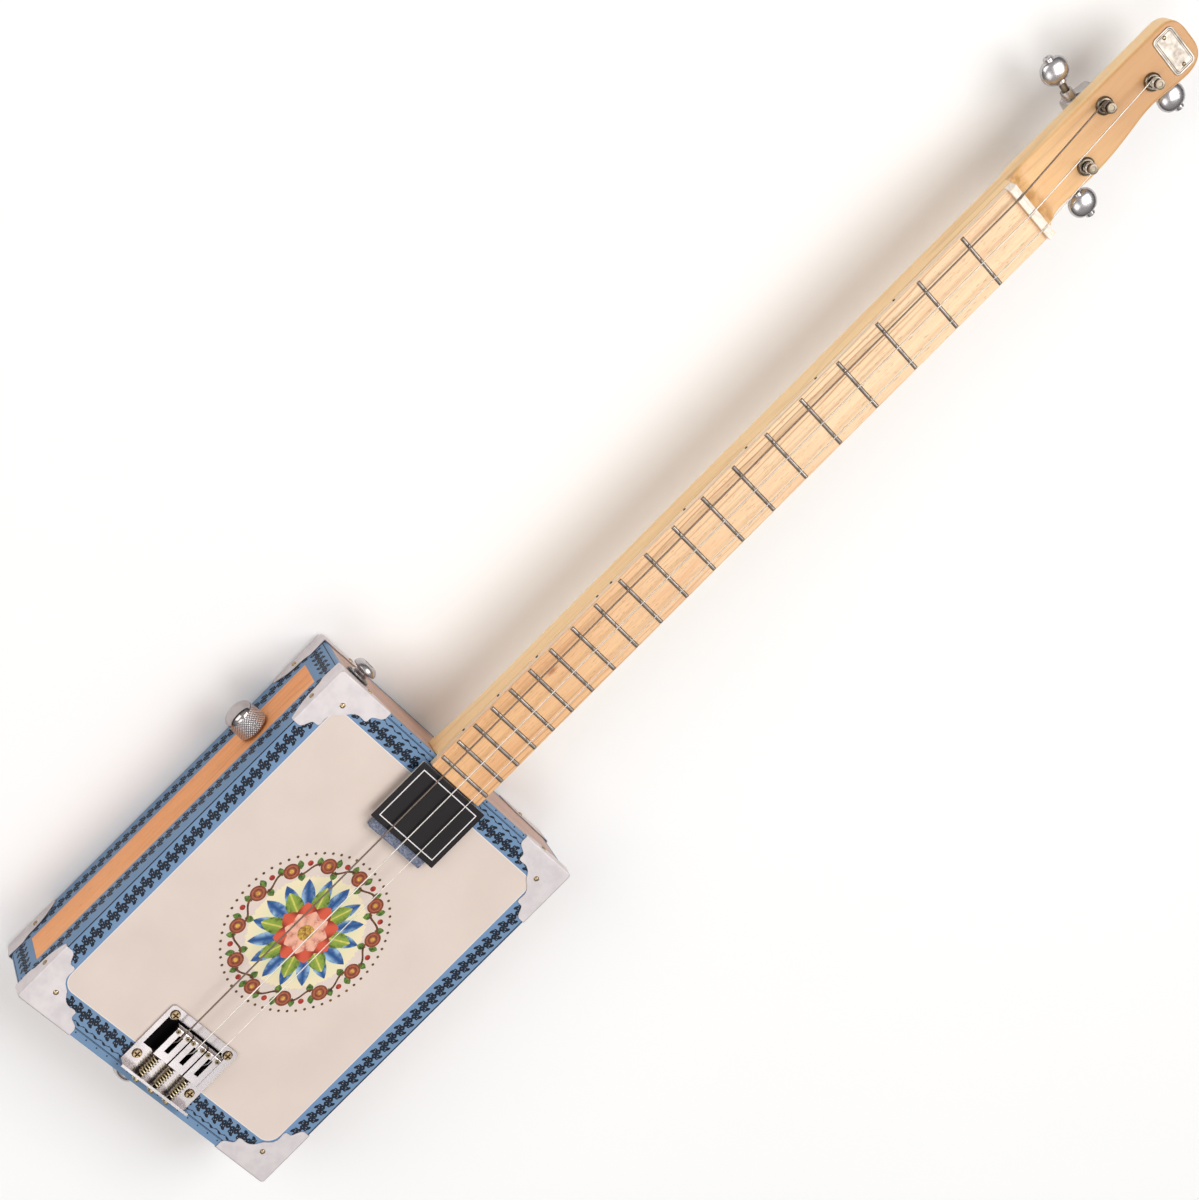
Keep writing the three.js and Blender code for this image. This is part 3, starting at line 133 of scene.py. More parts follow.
DOTTED_FRETS = (3, 5, 7, 9, 12, 15, 17, 19)
KNOT = (-8.1, 201.1)

# Strings, bass to treble
STRING_RADII = (0.5, 0.4, 0.3)
STRING_LOOKS = ("wound_string", "plain_string", "plain_string")
NUT_SPACING = 11.85
BRIDGE_SPACING = 11.4
BALL_RADIUS = 1.25
BALL_PROFILE = (
    (0, -1.6), (0.9, -1.6), (BALL_RADIUS, -1.25), (1.0, 0), (BALL_RADIUS, 1.25), (0.9, 1.6), (0, 1.6),
)
WINDING = {"turns": 2, "steps": 40, "clearance": 0.45}

# Bridge: heights are taken from the lid, levels from the back of the box
BRIDGE_REAR = -117.7
BRIDGE_SCREWS = {"half_x": 20.3, "front": -78.6, "apart": 30.0, "radius": 2.9, "rim": 2.75, "cross": 2.1,
                 "arm": 0.5, "level": 59.7, "plate_level": 60.0}
# Painted shade: the area of the bridge plate under the saddles, coloured nearly black
SHADE_UNDER_SADDLES = ((-22.2, 20.4), (-101.8, -79.6))
LIP_INNER = -116.1
SADDLE_FRONT = -80.4
SADDLE_REAR = -101.2
SADDLE_TOP = 8.8
STRING_LIFT = 0.2
SADDLE_SLOT = (-96.5, -84.5)
SADDLE_SLOT_HALF = 1.5
SADDLE_HALF_WIDTH = 5.45
SADDLE_TRAVEL_ROOM = 2.6
SADDLE_NOSE = 1.6
SCREW_LEVEL = 63.7
STRING_HOLE_HEIGHT = 2.45
SPRING = {"coil": 2.0, "wire": 0.42, "curls": 7, "steps": 24}
HEIGHT_SCREW = {"half_x": 3.6, "from_front": 2.6, "radius": 1.5}

# Corner protectors: outlines in shares of their reach
CORNER = {"wall": 0.7, "sheet_share": 0.9, "reach": 37.5, "fold": 1.0, "nail_top": 0.375, "nail_side": 0.58,
          "nail_drop": 0.12}
CORNER_ROUNDING = 2.3
CORNER_OUTLINE_SHARES = (
    (0, 1), (0.093, 1), (0.149, 0.965), (0.219, 0.837), (0.299, 0.824), (0.331, 0.787), (0.328, 0.667),
    (0.375, 0.57), (0.485, 0.485),
)
FLANGE_OUTLINE_SHARES = (
    (0, 0.28), (0.28, 0.296), (0.4, 0.245), (0.64, 0.219), (0.8, 0.171), (1, 0.067),
)
NAIL = {"radius": 1.6, "height": 0.9, "shank": ((0, -1.0), (0.6, -1.0), (0.6, 0))}

# Tuners: places, turns and the side of the post that each string meets
TUNERS = (
    {"x": -8.6, "y": 633.8, "degrees": 172.0, "hand": 1, "string_side": -1},
    {"x": 1.9, "y": 662.6, "degrees": 3.0, "hand": 1, "string_side": -1},
    {"x": 9.8, "y": 605.1, "degrees": -3.0, "hand": -1, "string_side": 1},
)
WORM_OFFSET = 7.752
GEAR_LEVEL = -7.52
POST = {"waist": 2.4, "waist_to": 8.2, "hole": 0.9}
POST_PROFILE = (
    (0, -11.0), (2.4, -11.0), (2.4, GEAR_LEVEL), (3.0, -6.32), (3.0, 15.9), (2.4, 16.2), (2.4, 21.3),
    (3.0, 21.6), (3.0, 22.4), (2.85, 22.6), (2.4, 22.7), (1.5, 22.7), (1.3, 22.4), (0, 22.4),
)
BUSHING_PROFILE = (
    (3.3, 0.3), (4.2, 0.3), (4.2, 13.1), (5.3, 13.1), (5.3, 14.1), (5.05, 14.6), (4.5, 15.05), (4.0, 15.2),
    (3.3, 15.2), (3.3, 0.3),
)
BUTTON = {"from_post": 17.4, "length": 15.6, "radius": 8.9, "flat": 0.54}
HUB_PROFILE = ((0, 0), (3.1, 0), (3.5, 0.5), (3.7, 4.0), (1.85, 9.6), (0, 9.6))
CAP_PROFILE = (
    (0, 14.1), (3.0, 14.1), (3.0, 16.7), (2.7, 17.15), (2.1, 17.4), (1.0, 17.4), (0.8, 16.9), (0, 16.9),
)
BUTTON_PROFILE_SHARES = (
    (0, 0), (0.34, 0.01), (0.82, 0.2), (1, 0.46), (0.94, 0.72), (0.7, 0.92), (0.34, 1), (0, 1),
)

# Volume control and strap buttons
KNOB = {"y": 64.5, "z": 29.0, "top_radius": 8.93, "dome_from": 12.9, "dome": 5.0}
KNOB_SKIRT_PROFILE = ((3.4, 4.9), (6.9, 4.9), (6.9, 0.9), (9.0, 0.9), (9.4, 1.2), (9.5, 1.8), (9.5, 2.4))
KNURL = {"count": 20.0, "slope": 2.1, "low": 2.1, "high": 12.5}
STRAP_BASE_PROFILE = ((0, 0), (5.5, 0), (5.5, 0.7), (5.1, 1.0))
STRAP_NECK_PROFILE = ((4.7, 1.5), (3.9, 2.3), (3.9, 3.0), (5.3, 3.6), (6.8, 4.0))
STRAP_HEAD_PROFILE = (
    (7.3, 4.5), (7.3, 5.2), (7.0, 6.1), (6.4, 7.1), (5.6, 7.9), (4.8, 8.4), (3.0, 8.4), (2.9, 6.9), (0, 6.9),
)
STRAP_SEAT = 6.9
STRAP_SCREW_PROFILE = ((0, 0), (2.6, 0), (2.5, 0.6), (2.0, 1.1), (1.1, 1.35), (0, 1.4))
CROSS_ARM = ((-1.7, 1.7), (-0.36, 0.36), (0.6, 3.0))
FELT_HEIGHT = 1.4
FELT_PROFILE = ((1.8, 0), (7.0, 0), (7.3, 0.4), (7.3, 1.0), (7.0, 1.4), (1.8, 1.4), (1.8, 0))
STRAP_PLACES = (("neck", (-77.0, HALF_LENGTH, 38.0), 1), ("tail", (-4.0, -HALF_LENGTH, 30.0), -1))

# Pickup
PICKUP_PLATE = {"half_width": 24.8, "rear": 76.0, "front": 117.6, "raw_below": 64.65, "stripe": 3.6,
                "stripe_half": 0.3}

# Printed paper
PANEL_HALF_WIDTH = 80.5
PANEL_REAR = -104.3
PANEL_FRONT = 106.7
PANEL_ROUNDING = 8.0
BAND_MIDDLE = 7.0
BAND_MIDDLE_AT_ENDS = 5.7
CHAIN = {"middle": 11.8, "reach": 1.3}
END_LINES = ((14.4, 0.2), (14.95, 0.12))
END_DOTS = {"pitch": 7.8, "middle": 16.3, "radius": 0.5}
SIDE_LINE = {"middle": 12.9, "reach": 0.34}
FILIGREE_WIDTH = 8.8
FILIGREE_PITCH = 6.4
SIDE_PANEL_LOW = 15.0
SIDE_PANEL_HIGH = 41.0
SIDE_PANEL_END = 107.0
SIDE_ROWS = (8.0, 46.9)
SIDE_GRAIN = 3.4
SEAM_DOTS = {"pitch": 8.0, "height": 56.0, "radius": 0.55}
PANEL_RIM = 0.5
LID_FACE = 57.1
CORNER_LINE = {"from_end": 2.0, "reach": 0.25}
BACK_BORDER = 6.0
BACK_FACE = 0.6
EDGING_BLUE = "7390B0"
EDGING_DEEP = "6684A4"
EDGING_INK = "0A1222"
ARTWORK_PLACE = (1.5, 2.0)
ARTWORK_STRETCH = 1.12
ARTWORK_SCALE = 0.87

# Metal
NEARLY_BLACK = "151314"
METAL_DEPTH = 0.004

# Floor, light and sky
FLOOR_HALF = 3.0
LIGHTS = (
    ("key", (0.5, 1.5, 1.9), (0, 0.25, 0), 1.5, 27.0),
    ("fill", (-1.8, -0.4, 1.5), (0, 0.2, 0), 1.6, 17.0),
    ("top", (0.3, -0.6, 2.2), (0, 0.1, 0), 1.2, 10.0),
)
HORIZON = (0.14, 0.137, 0.14, 1)
ZENITH = (1, 1, 1, 1)
SKY_STRENGTH = 0.55


# Colour in linear light from the eye's hexadecimal value
def paint(hexadecimal):
    channels = [int(hexadecimal[i : i + 2], 16) / 255 for i in (0, 2, 4)]
    linear = [c / 12.92 if c <= 0.04045 else ((c + 0.055) / 1.055) ** 2.4 for c in channels]
    return (*linear, 1.0)


# Shader nodes
def connect(tree, value, socket):
    """Links a field to a socket, or sets the socket to a number or to a hexadecimal colour."""
    if isinstance(value, Field):
        tree.links.new(value.socket, socket)
    else:
        socket.default_value = paint(value) if isinstance(value, str) else value


def shader_node(tree, kind, inputs, output=0, **settings):
    """Adds a node, and gives one of its outputs as a field."""
    node = tree.nodes.new("ShaderNode" + kind)
    for name, value in settings.items():
        setattr(node, name, value)
    for socket, value in inputs.items():
        connect(tree, value, node.inputs[socket])
    return Field(tree, node.outputs[output])


def math_node(operation):
    return lambda field, *others: field.combine(operation, *others)


class Field:
    """A value that varies over a surface. Arithmetic on fields adds Math nodes to their tree."""

    def __init__(self, tree, socket):
        self.tree = tree
        self.socket = socket

    def combine(self, operation, *others):
        return shader_node(self.tree, "Math", dict(enumerate((self, *others))), operation=operation)

    __add__ = math_node("ADD")
    __sub__ = math_node("SUBTRACT")
    __mul__ = math_node("MULTIPLY")
    __truediv__ = math_node("DIVIDE")
    __abs__ = math_node("ABSOLUTE")
    __lt__ = math_node("LESS_THAN")
    __gt__ = math_node("GREATER_THAN")
    __and__ = math_node("MULTIPLY")
    __or__ = math_node("MAXIMUM")
    lesser = math_node("MINIMUM")
    sine = math_node("SINE")
    power = math_node("POWER")
    turn_from = math_node("ARCTAN2")

    def __neg__(self):
        return self * -1.0

    def without(self, other):
        return self * (-other + 1.0)

    def repeated(self, pitch):
        return self.combine("WRAP", pitch / 2, -pitch / 2)

    def hypotenuse(self, other):
        return (self * self + other * other).combine("SQRT")

    def eased(self, low, high, to_low=0.0, to_high=1.0):
        span = {"Value": self, "From Min": low, "From Max": high, "To Min": to_low, "To Max": to_high}
        return shader_node(self.tree, "MapRange", span, "Result", interpolation_type="SMOOTHSTEP")

    def scaled(self, factors):
        return shader_node(self.tree, "VectorMath", {0: self, 1: factors}, operation="MULTIPLY")

    def split(self):
        node = shader_node(self.tree, "SeparateXYZ", {0: self}).socket.node
        return [Field(self.tree, socket) for socket in node.outputs]

    def noise(self, scale, detail=3.0, roughness=0.5, distortion=0.0):
        return shader_node(self.tree, "TexNoise", {
            "Vector": self, "Scale": scale, "Detail": detail, "Roughness": roughness, "Distortion": distortion,
        }, "Fac")


def joined_vector(tree, x, y, z):
    return shader_node(tree, "CombineXYZ", {0: x, 1: y, 2: z})


def blended(tree, share, first, second):
    return shader_node(tree, "Mix", {"Factor": share, 6: first, 7: second}, 2, data_type="RGBA")


def effect(name, takes, gives):
    """Turns a function into a shader node group with the named sockets it takes and gives."""

    def grouped(build):
        tree = bpy.data.node_groups.new(name, "ShaderNodeTree")
        for sockets, way in ((takes, "INPUT"), (gives, "OUTPUT")):
            for socket, kind in sockets.items():
                tree.interface.new_socket(name=socket, in_out=way, socket_type="NodeSocket" + kind)
        entry = tree.nodes.new("NodeGroupInput")
        leaving = tree.nodes.new("NodeGroupOutput")
        results = build(tree, *(Field(tree, entry.outputs[socket]) for socket in takes))
        for socket, result in zip(gives, results):
            connect(tree, result, leaving.inputs[socket])
        return tree

    return grouped


class Finish:
    """A material being made: one Principled shader, and the place on the surface in millimetres."""

    def __init__(self, name, constants=None):
        self.material = bpy.data.materials.new(name)
        self.material.use_nodes = True
        self.tree = self.material.node_tree
        self.shader = self.tree.nodes["Principled BSDF"]
        for socket, value in (constants or {}).items():
            self.shader.inputs[socket].default_value = value
        self.place = shader_node(self.tree, "TexCoord", {}, "Object").scaled((1 / MM,) * 3)
        self.x, self.y, self.z = self.place.split()

    def use(self, group, values):
        node = shader_node(self.tree, "Group", values, node_tree=group).socket.node
        return {socket.name: Field(self.tree, socket) for socket in node.outputs}

    def mix(self, share, first, second):
        return blended(self.tree, share, first, second)

    def paper(self):
        return self.use(paper_fibre, {"Place": self.place})

    def row(self, pattern, along, across, reach):
        """Ink of a printed row, cut off at the given reach to either side."""
        return self.use(pattern, {"Along": along, "Across": across})["Ink"] & (abs(across) < reach)

    def wood(self, place, light, dark, line, spacing, lines, pores):
        return self.use(wood_grain, {
            "Place": place, "Light": light, "Dark": dark, "Line": line,
            "Line Spacing": spacing, "Line Strength": lines, "Pore Strength": pores,
        })

    def done(self, colour, roughness, height=None, depth=0.0):
        """Connects colour and gloss, raises the surface by height times depth, and gives the material."""
        connect(self.tree, colour, self.shader.inputs["Base Color"])
        connect(self.tree, roughness, self.shader.inputs["Roughness"])
        if depth:
            bump = shader_node(self.tree, "Bump", {"Distance": depth * MM, "Height": height}, "Normal")
            connect(self.tree, bump, self.shader.inputs["Normal"])
        return self.material

    def done_in_wood(self, wood, colour=None):
        gloss = wood["Height"].eased(-0.2, 0.8, 0.55, 0.38)
        return self.done(colour or wood["Color"], gloss, wood["Height"], 0.04)


# Effects that several finishes share
@effect("wood grain", {"Place": "Vector", "Light": "Color", "Dark": "Color", "Line": "Color",
                       "Line Spacing": "Float", "Line Strength": "Float", "Pore Strength": "Float"},
        {"Color": "Color", "Height": "Float"})
def wood_grain(tree, place, light, dark, line_colour, spacing, line_strength, pore_strength):
    """Straight grain along Y: fine fibres, slow colour drift, thin growth lines and short pores."""
    drift = place.scaled((1.0, 0.12, 1.0)).noise(0.035, 3.0, 0.5, 0.6)
    fibre = place.scaled((1.0, 0.03, 1.0)).noise(1.6, 5.0, 0.65)
    across, along, height = place.split()
    phase = (across + height * 0.6) / spacing + drift * 5.0
    line = ((phase * (2 * math.pi)).sine() * 0.5 + 0.5).power(7.0)
    strength = place.scaled((0.3, 0.02, 0.3)).noise(0.12, 2.0).eased(0.4, 0.7)
    pore = place.scaled((1.0, 0.09, 1.0)).noise(2.6, 2.0, 0.4).eased(0.62, 0.72)
    shade = fibre.eased(0.3, 0.75) * 0.55 + drift.eased(0.3, 0.7) * 0.45
    marks = (line * strength * line_strength) | (pore * pore_strength)
    return blended(tree, marks, blended(tree, shade, light, dark), line_colour), fibre - marks * 0.6


@effect("worn metal", {"Place": "Vector", "Clean": "Color", "Stained": "Color", "Polished": "Float",
                       "Dull": "Float"},
        {"Color": "Color", "Roughness": "Float", "Height": "Float"})
def worn_metal(tree, place, clean, stained, polished, dull):
    """Metal that has been handled: cloudy smudges and fine hairlines in its gloss and colour."""
    hairline = place.scaled((1.0, 0.12, 1.0)).noise(4.5, 3.0, 0.7)
    smudge = place.noise(0.11, 4.0, 0.6).eased(0.35, 0.7)
    roughness = polished + (dull - polished) * (smudge * 0.7 + hairline * 0.3)
    return blended(tree, smudge * 0.6 + hairline * 0.2, clean, stained), roughness, hairline


@effect("paper fibre", {"Place": "Vector"}, {"Tone": "Float", "Height": "Float"})
def paper_fibre(tree, place):
    """Printed paper: faint fibre and a slightly uneven tone."""
    fibre = place.noise(1.9, 4.0, 0.7)
    return fibre * 0.35 + place.noise(0.03, 3.0, 0.5) * 0.65, fibre


def comma(along, across, out):
    """A leaning drop, its middle the given distance out, over a hook that curls back to the strands."""
    drop = (along * 0.72).hypotenuse((across - out - along * 0.3) * 1.15) < 1.08
    bend = abs((along + 0.95).hypotenuse(across - out + 1.0) - 1.3) < 0.42
    bulb = (along + 1.3).hypotenuse(across - out + 1.6) < 0.62
    return drop | (bend & (across < out + 0.1)) | bulb


@effect("filigree band", {"Along": "Float", "Across": "Float"}, {"Ink": "Float"})
def filigree(tree, along, across):
    """Ink of the wide band: two crossing strands with knots, and a row of commas on each side."""
    here = along.repeated(FILIGREE_PITCH)
    wave = (along * (2 * math.pi / FILIGREE_PITCH)).sine() * 1.25
    strands = (abs(across - wave) < 0.5) | (abs(across + wave) < 0.5)
    eyes = (along + FILIGREE_PITCH / 4).repeated(FILIGREE_PITCH / 2)
    diamond = abs(eyes) + abs(across)
    knot = (diamond < 1.25).without(diamond < 0.35)
    return (strands | knot | comma(here, across, 3.1) | comma(-here, -across, 3.1),)


@effect("leaf chain", {"Along": "Float", "Across": "Float"}, {"Ink": "Float"})
def leaf_chain(tree, along, across):
    """Ink of the narrow outer row: long leaves on a thin wavy stem."""
    here = along.repeated(FILIGREE_PITCH)
    wave = (along * (2 * math.pi / FILIGREE_PITCH)).sine() * 0.4
    stem = abs(across - wave) < 0.2
    leaf = ((here - 0.6) * 0.42).hypotenuse(across - wave - 0.15) < 0.66
    bud = (here + 2.3).hypotenuse(across + 0.3) < 0.42
    return (stem | leaf | bud,)


@effect("floral wreath", {"X": "Float", "Y": "Float"}, {"Color": "Color", "Mask": "Float"})
def floral_wreath(tree, x, y):
    """The round floral print: flower, blue fan, leaves, vine and beads, from the middle outwards."""
    radius = x.hypotenuse(y)
    angle = y.turn_from(x)
    flat = joined_vector(tree, x, y, 0.0)
    grainy = flat.noise(0.55, 4.0, 0.65)
    tone = grainy.eased(0.3, 0.7)
    soft = flat.noise(0.16, 3.0, 0.6).eased(0.35, 0.65)

    def around(count, at, shift=0.0):
        turn = (angle + shift).repeated(2 * math.pi / count)
        return radius * (turn + math.pi / 2).sine() - at, radius * turn.sine()

    def distance(count, at, shift=0.0):
        along, across = around(count, at, shift)
        return along.hypotenuse(across)

    def petal(count, start, end, width, shift=0.0):
        along, across = around(count, (start + end) / 2, shift)
        share = along / ((end - start) / 2)
        return abs(across) < (-(share * share) + 1.0) * width, abs(across / width)

    ground = radius + (grainy - 0.5) * 7.0 < 31.0
    fan, fan_edge = petal(16, 11.0, 30.0, 3.6)
    green, green_edge = petal(8, 9.0, 25.5, 4.6, math.pi / 8)
    outer, outer_edge = petal(8, 4.0, 17.0, 5.4)
    inner, inner_edge = petal(8, 2.0, 12.0, 4.2, math.pi / 8)
    vine = abs(radius - 35.5 - (angle * 12.0).sine() * 2.1) < 0.62
    leaves = petal(24, 36.2, 41.4, 1.7, math.pi / 24)[0] | petal(12, 29.5, 34.6, 1.9, math.pi / 24)[0]
    berry = distance(12, 38.6, math.pi / 12) < 1.5
    bead = distance(60, 43.6) < 0.75
    to_rosette = distance(12, 36.6)
    rosette = to_rosette < 4.3
    ring = (to_rosette * (2 * math.pi / 1.7)).sine() * 0.5 + 0.5
    colour = blended(tree, radius.eased(10.0, 31.0), "C9D7A0", "E8D9B4")
    for mask, first, second, share in (
        (fan, "1D4C86", "9DC0E0", fan_edge.eased(0.0, 0.9) * soft),
        (green, "8CA23C", "2B4A22", green_edge.eased(0.1, 0.9) * tone),
        (green & (green_edge < 0.1), "D8CE6A", "B6B24E", tone),
        (outer, "D4573C", "7C1D17", outer_edge.eased(0.2, 1.0)),
        (inner, "F0B49A", "A8332B", inner_edge.eased(0.0, 0.9) * tone),
        (radius < 4.3, "E2B64E", "6B3416", tone),
        (leaves, "6E8E34", "22401F", tone),
        (vine, "7A4A26", "2E1B10", tone),
        (berry, "C8402E", "5E1712", tone),
        (rosette, "B4603F", "5A2A1C", ring * 0.6 + tone * 0.4),
        (to_rosette < 1.1, "E2B64E", "A86A2C", tone),
        (bead, "7A5230", "2A1A12", tone),
    ):
        colour = blended(tree, mask, colour, blended(tree, share, first, second))
    return colour, ground | fan | green | leaves | vine | berry | bead | rosette


def edging(finish, tone, ink):
    """Blue paper with its printed ink."""
    return finish.mix(ink, finish.mix(tone, EDGING_BLUE, EDGING_DEEP), EDGING_INK)


def lid_print():
    """Cream panel with the wreath, in a rounded frame of blue edging."""
    finish = Finish("printed lid paper", {
        "Specular IOR Level": 0.3, "Coat Weight": 0.04, "Coat Roughness": 0.25,
    })
    paper = finish.paper()
    tone = paper["Tone"]
    middle = (PANEL_REAR + PANEL_FRONT) / 2
    half = (PANEL_FRONT - PANEL_REAR) / 2
    side = abs(finish.x) - (PANEL_HALF_WIDTH - PANEL_ROUNDING)
    end = abs(finish.y - middle) - (half - PANEL_ROUNDING)
    distance = (side | 0.0).hypotenuse(end | 0.0) + (side | end).lesser(0.0) - PANEL_ROUNDING
    at_end = end > side
    along = finish.y.without(at_end) + (finish.x & at_end)
    band_middle = at_end * (BAND_MIDDLE_AT_ENDS - BAND_MIDDLE) + BAND_MIDDLE
    band = finish.row(filigree, along, distance - band_middle, FILIGREE_WIDTH / 2)
    chain = finish.row(leaf_chain, along, distance - CHAIN["middle"], CHAIN["reach"])
    wide_line, thin_line = (abs(distance - line) < reach for line, reach in END_LINES)
    dots = along.repeated(END_DOTS["pitch"]).hypotenuse(distance - END_DOTS["middle"]) < END_DOTS["radius"]
    side_line = (abs(distance - SIDE_LINE["middle"]) < SIDE_LINE["reach"]).without(at_end)
    ink = band | ((chain | (wide_line | thin_line) | dots) & at_end) | side_line
    top_face = finish.z > LID_FACE
    colour = edging(finish, tone, ink & top_face)
    plain = (distance < band_middle - FILIGREE_WIDTH / 2) & top_face
    colour = finish.mix(plain, colour, finish.mix(tone, "7392B8", "6786AC"))
    colour = finish.mix((distance < PANEL_RIM) & top_face, colour, "E6DACD")
    wreath = finish.use(floral_wreath, {
        "X": (finish.x - ARTWORK_PLACE[0]) * (ARTWORK_STRETCH * ARTWORK_SCALE),
        "Y": (finish.y - ARTWORK_PLACE[1]) * ARTWORK_SCALE,
    })
    cream = finish.mix(tone.eased(0.3, 0.7), "DCCBC0", "D6C5BA")
    printed = finish.mix(wreath["Mask"], cream, wreath["Color"])
    colour = finish.mix((distance < 0.0) & top_face, colour, printed)
    return finish.done(colour, tone.eased(0.2, 0.8, 0.42, 0.58), paper["Height"], 0.03)


def side_print():
    """Bass and treble walls: a bare wood panel in a frame of blue edging."""
    finish = Finish("side wall", {"Specular IOR Level": 0.3, "Coat Weight": 0.04, "Coat Roughness": 0.3})
    tone = finish.paper()["Tone"]
    wood = finish.wood(finish.place, "FAB178", "E69254", "B96B3B", SIDE_GRAIN, 0.5, 0.35)
    length = abs(finish.y)
    reach = FILIGREE_WIDTH / 2
    low, high = SIDE_ROWS
    lower, upper = (finish.row(filigree, finish.y, finish.z - row, reach) for row in SIDE_ROWS)
    rows = lower | upper
    to_dot = finish.y.repeated(SEAM_DOTS["pitch"]).hypotenuse(finish.z - SEAM_DOTS["height"])
    upright_middle = (SIDE_PANEL_END + HALF_LENGTH) / 2
    upright = finish.row(filigree, finish.z, length - upright_middle, reach)
    between_rows = (finish.z > low + reach) & (finish.z < high - reach)
    corner_line = abs(length - (HALF_LENGTH - CORNER_LINE["from_end"])) < CORNER_LINE["reach"]
    rows = rows & (length < upright_middle + reach)
    ink = rows | (to_dot < SEAM_DOTS["radius"]) | (upright & between_rows) | corner_line
    in_panel = (finish.z > SIDE_PANEL_LOW) & (finish.z < SIDE_PANEL_HIGH) & (length < SIDE_PANEL_END)
    colour = finish.mix(in_panel, edging(finish, tone, ink), wood["Color"])
    bare_grain = finish.use(wood_grain, {"Place": finish.place, "Line Spacing": SIDE_GRAIN})["Height"]
    return finish.done(colour, tone.eased(0.2, 0.8, 0.45, 0.62), bare_grain & in_panel, 0.05)


def back_print():
    """Underside of the box: bare wood with a turned-over edge of blue paper."""
    finish = Finish("back board")
    tone = finish.paper()["Tone"]
    wood = finish.wood(finish.place, "E9AD80", "D08E5C", "A8683C", 4.2, 0.6, 0.4)
    border = (abs(finish.x) > HALF_WIDTH - BACK_BORDER) | (abs(finish.y) > HALF_LENGTH - BACK_BORDER)
    blue = finish.mix(tone, EDGING_BLUE, EDGING_DEEP)
    colour = finish.mix(border | (finish.z > BACK_FACE), wood["Color"], blue)
    return finish.done(colour, tone.eased(0.2, 0.8, 0.5, 0.66), wood["Height"], 0.05)


def end_wood():
    """The box's ends: grain that runs across the box, in wood darker and greyer than the side walls', as
    painted shade.
    """
    finish = Finish("end wall", {"Coat Weight": 0.05, "Coat Roughness": 0.2})
    place = joined_vector(finish.tree, finish.z, finish.x, finish.y)
    # Painted shade: the ends' wood is darker and greyer than the side walls'
    return finish.done_in_wood(finish.wood(place, "C9A08C", "A98170", "7E5A4B", 2.6, 0.6, 0.5))


def neck_wood():
    """Maple: yellow along the neck and deeper on the head, whose top is painted paler than its sides and back
    as light; darker orange patches behind the nut.
    """
    finish = Finish("neck maple", {"Coat Weight": 0.15, "Coat Roughness": 0.2})
    # Painted light: beyond the nut, the top of the head is coloured paler than its sides and back
    head_top_painted_light = finish.z.eased(HEAD_FACE - 1.6, HEAD_FACE - 0.1) & (finish.y > NUT_REAR)
    up_head = finish.y.eased(NUT_REAR, NUT_REAR + 90.0)
    light = finish.mix(head_top_painted_light, "FFDBA4", finish.mix(up_head, "F6C78C", "D29E66"))
    dark = finish.mix(head_top_painted_light, "F9C98C", finish.mix(up_head, "E9B578", "C58E57"))
    wood = finish.wood(finish.place, light, dark, "BD874C", 6.0, 0.35, 0.18)
    behind_nut = (finish.y > NUT_REAR) & (finish.y < NUT_REAR + 1.5 * SCOOP_LENGTH)
    # Darker orange patches behind the nut, strongest at the nut and fading towards the head
    nut_patches = finish.place.noise(0.13, 2.0).eased(0.42, 0.6) * (finish.y - NUT_REAR).eased(0.0, 18.0, 0.75, 0.0)
    return finish.done_in_wood(wood, finish.mix(nut_patches & behind_nut & head_top_painted_light, wood["Color"], "C98B4A"))


def fretboard_wood():
    """Maple with fine dark fibres, reddish streaks, one small knot, and a painted highlight on its sides."""
    finish = Finish("fretboard maple", {"Coat Weight": 0.15, "Coat Roughness": 0.2})
    up_neck = finish.y.eased(110.0, 420.0)
    light = finish.mix(up_neck, "EDBB86", "FDDCB4")
    dark = finish.mix(up_neck, "DA9E68", "F2C698")
    wood = finish.wood(finish.place, light, dark, "A97246", 3.1, 0.95, 0.55)
    streak = finish.place.scaled((0.6, 0.05, 0.6)).noise(0.2, 4.0, 0.6).eased(0.5, 0.74)
    colour = finish.mix(streak * 0.45, wood["Color"], "DA9868")
    ragged = finish.place.noise(0.5, 3.0) * 1.6
    knot = (finish.x - KNOT[0]).hypotenuse((finish.y - KNOT[1]) * 0.4) + ragged
    colour = finish.mix(knot.eased(1.0, 3.0, 0.85, 0.0), colour, "B06A42")
    # Painted highlight: the fretboard's sides, below its top, are coloured paler
    colour = finish.mix((finish.z < FRETBOARD_TOP - 0.7) * 0.5, colour, "FFE9CC")
    return finish.done_in_wood(wood, colour)


def metal_finish(name, clean, stained, polished, dull, scale=1.0):
    finish = Finish(name, {"Metallic": 1.0})
    worn = finish.use(worn_metal, {
        "Place": finish.place.scaled((scale,) * 3), "Clean": clean, "Stained": stained,
        "Polished": polished, "Dull": dull,
    })
    return finish, worn


def metal(name, clean, stained, polished, dull, scale=1.0, depth=METAL_DEPTH):
    finish, worn = metal_finish(name, clean, stained, polished, dull, scale)
    return finish.done(worn["Color"], worn["Roughness"], worn["Height"], depth)


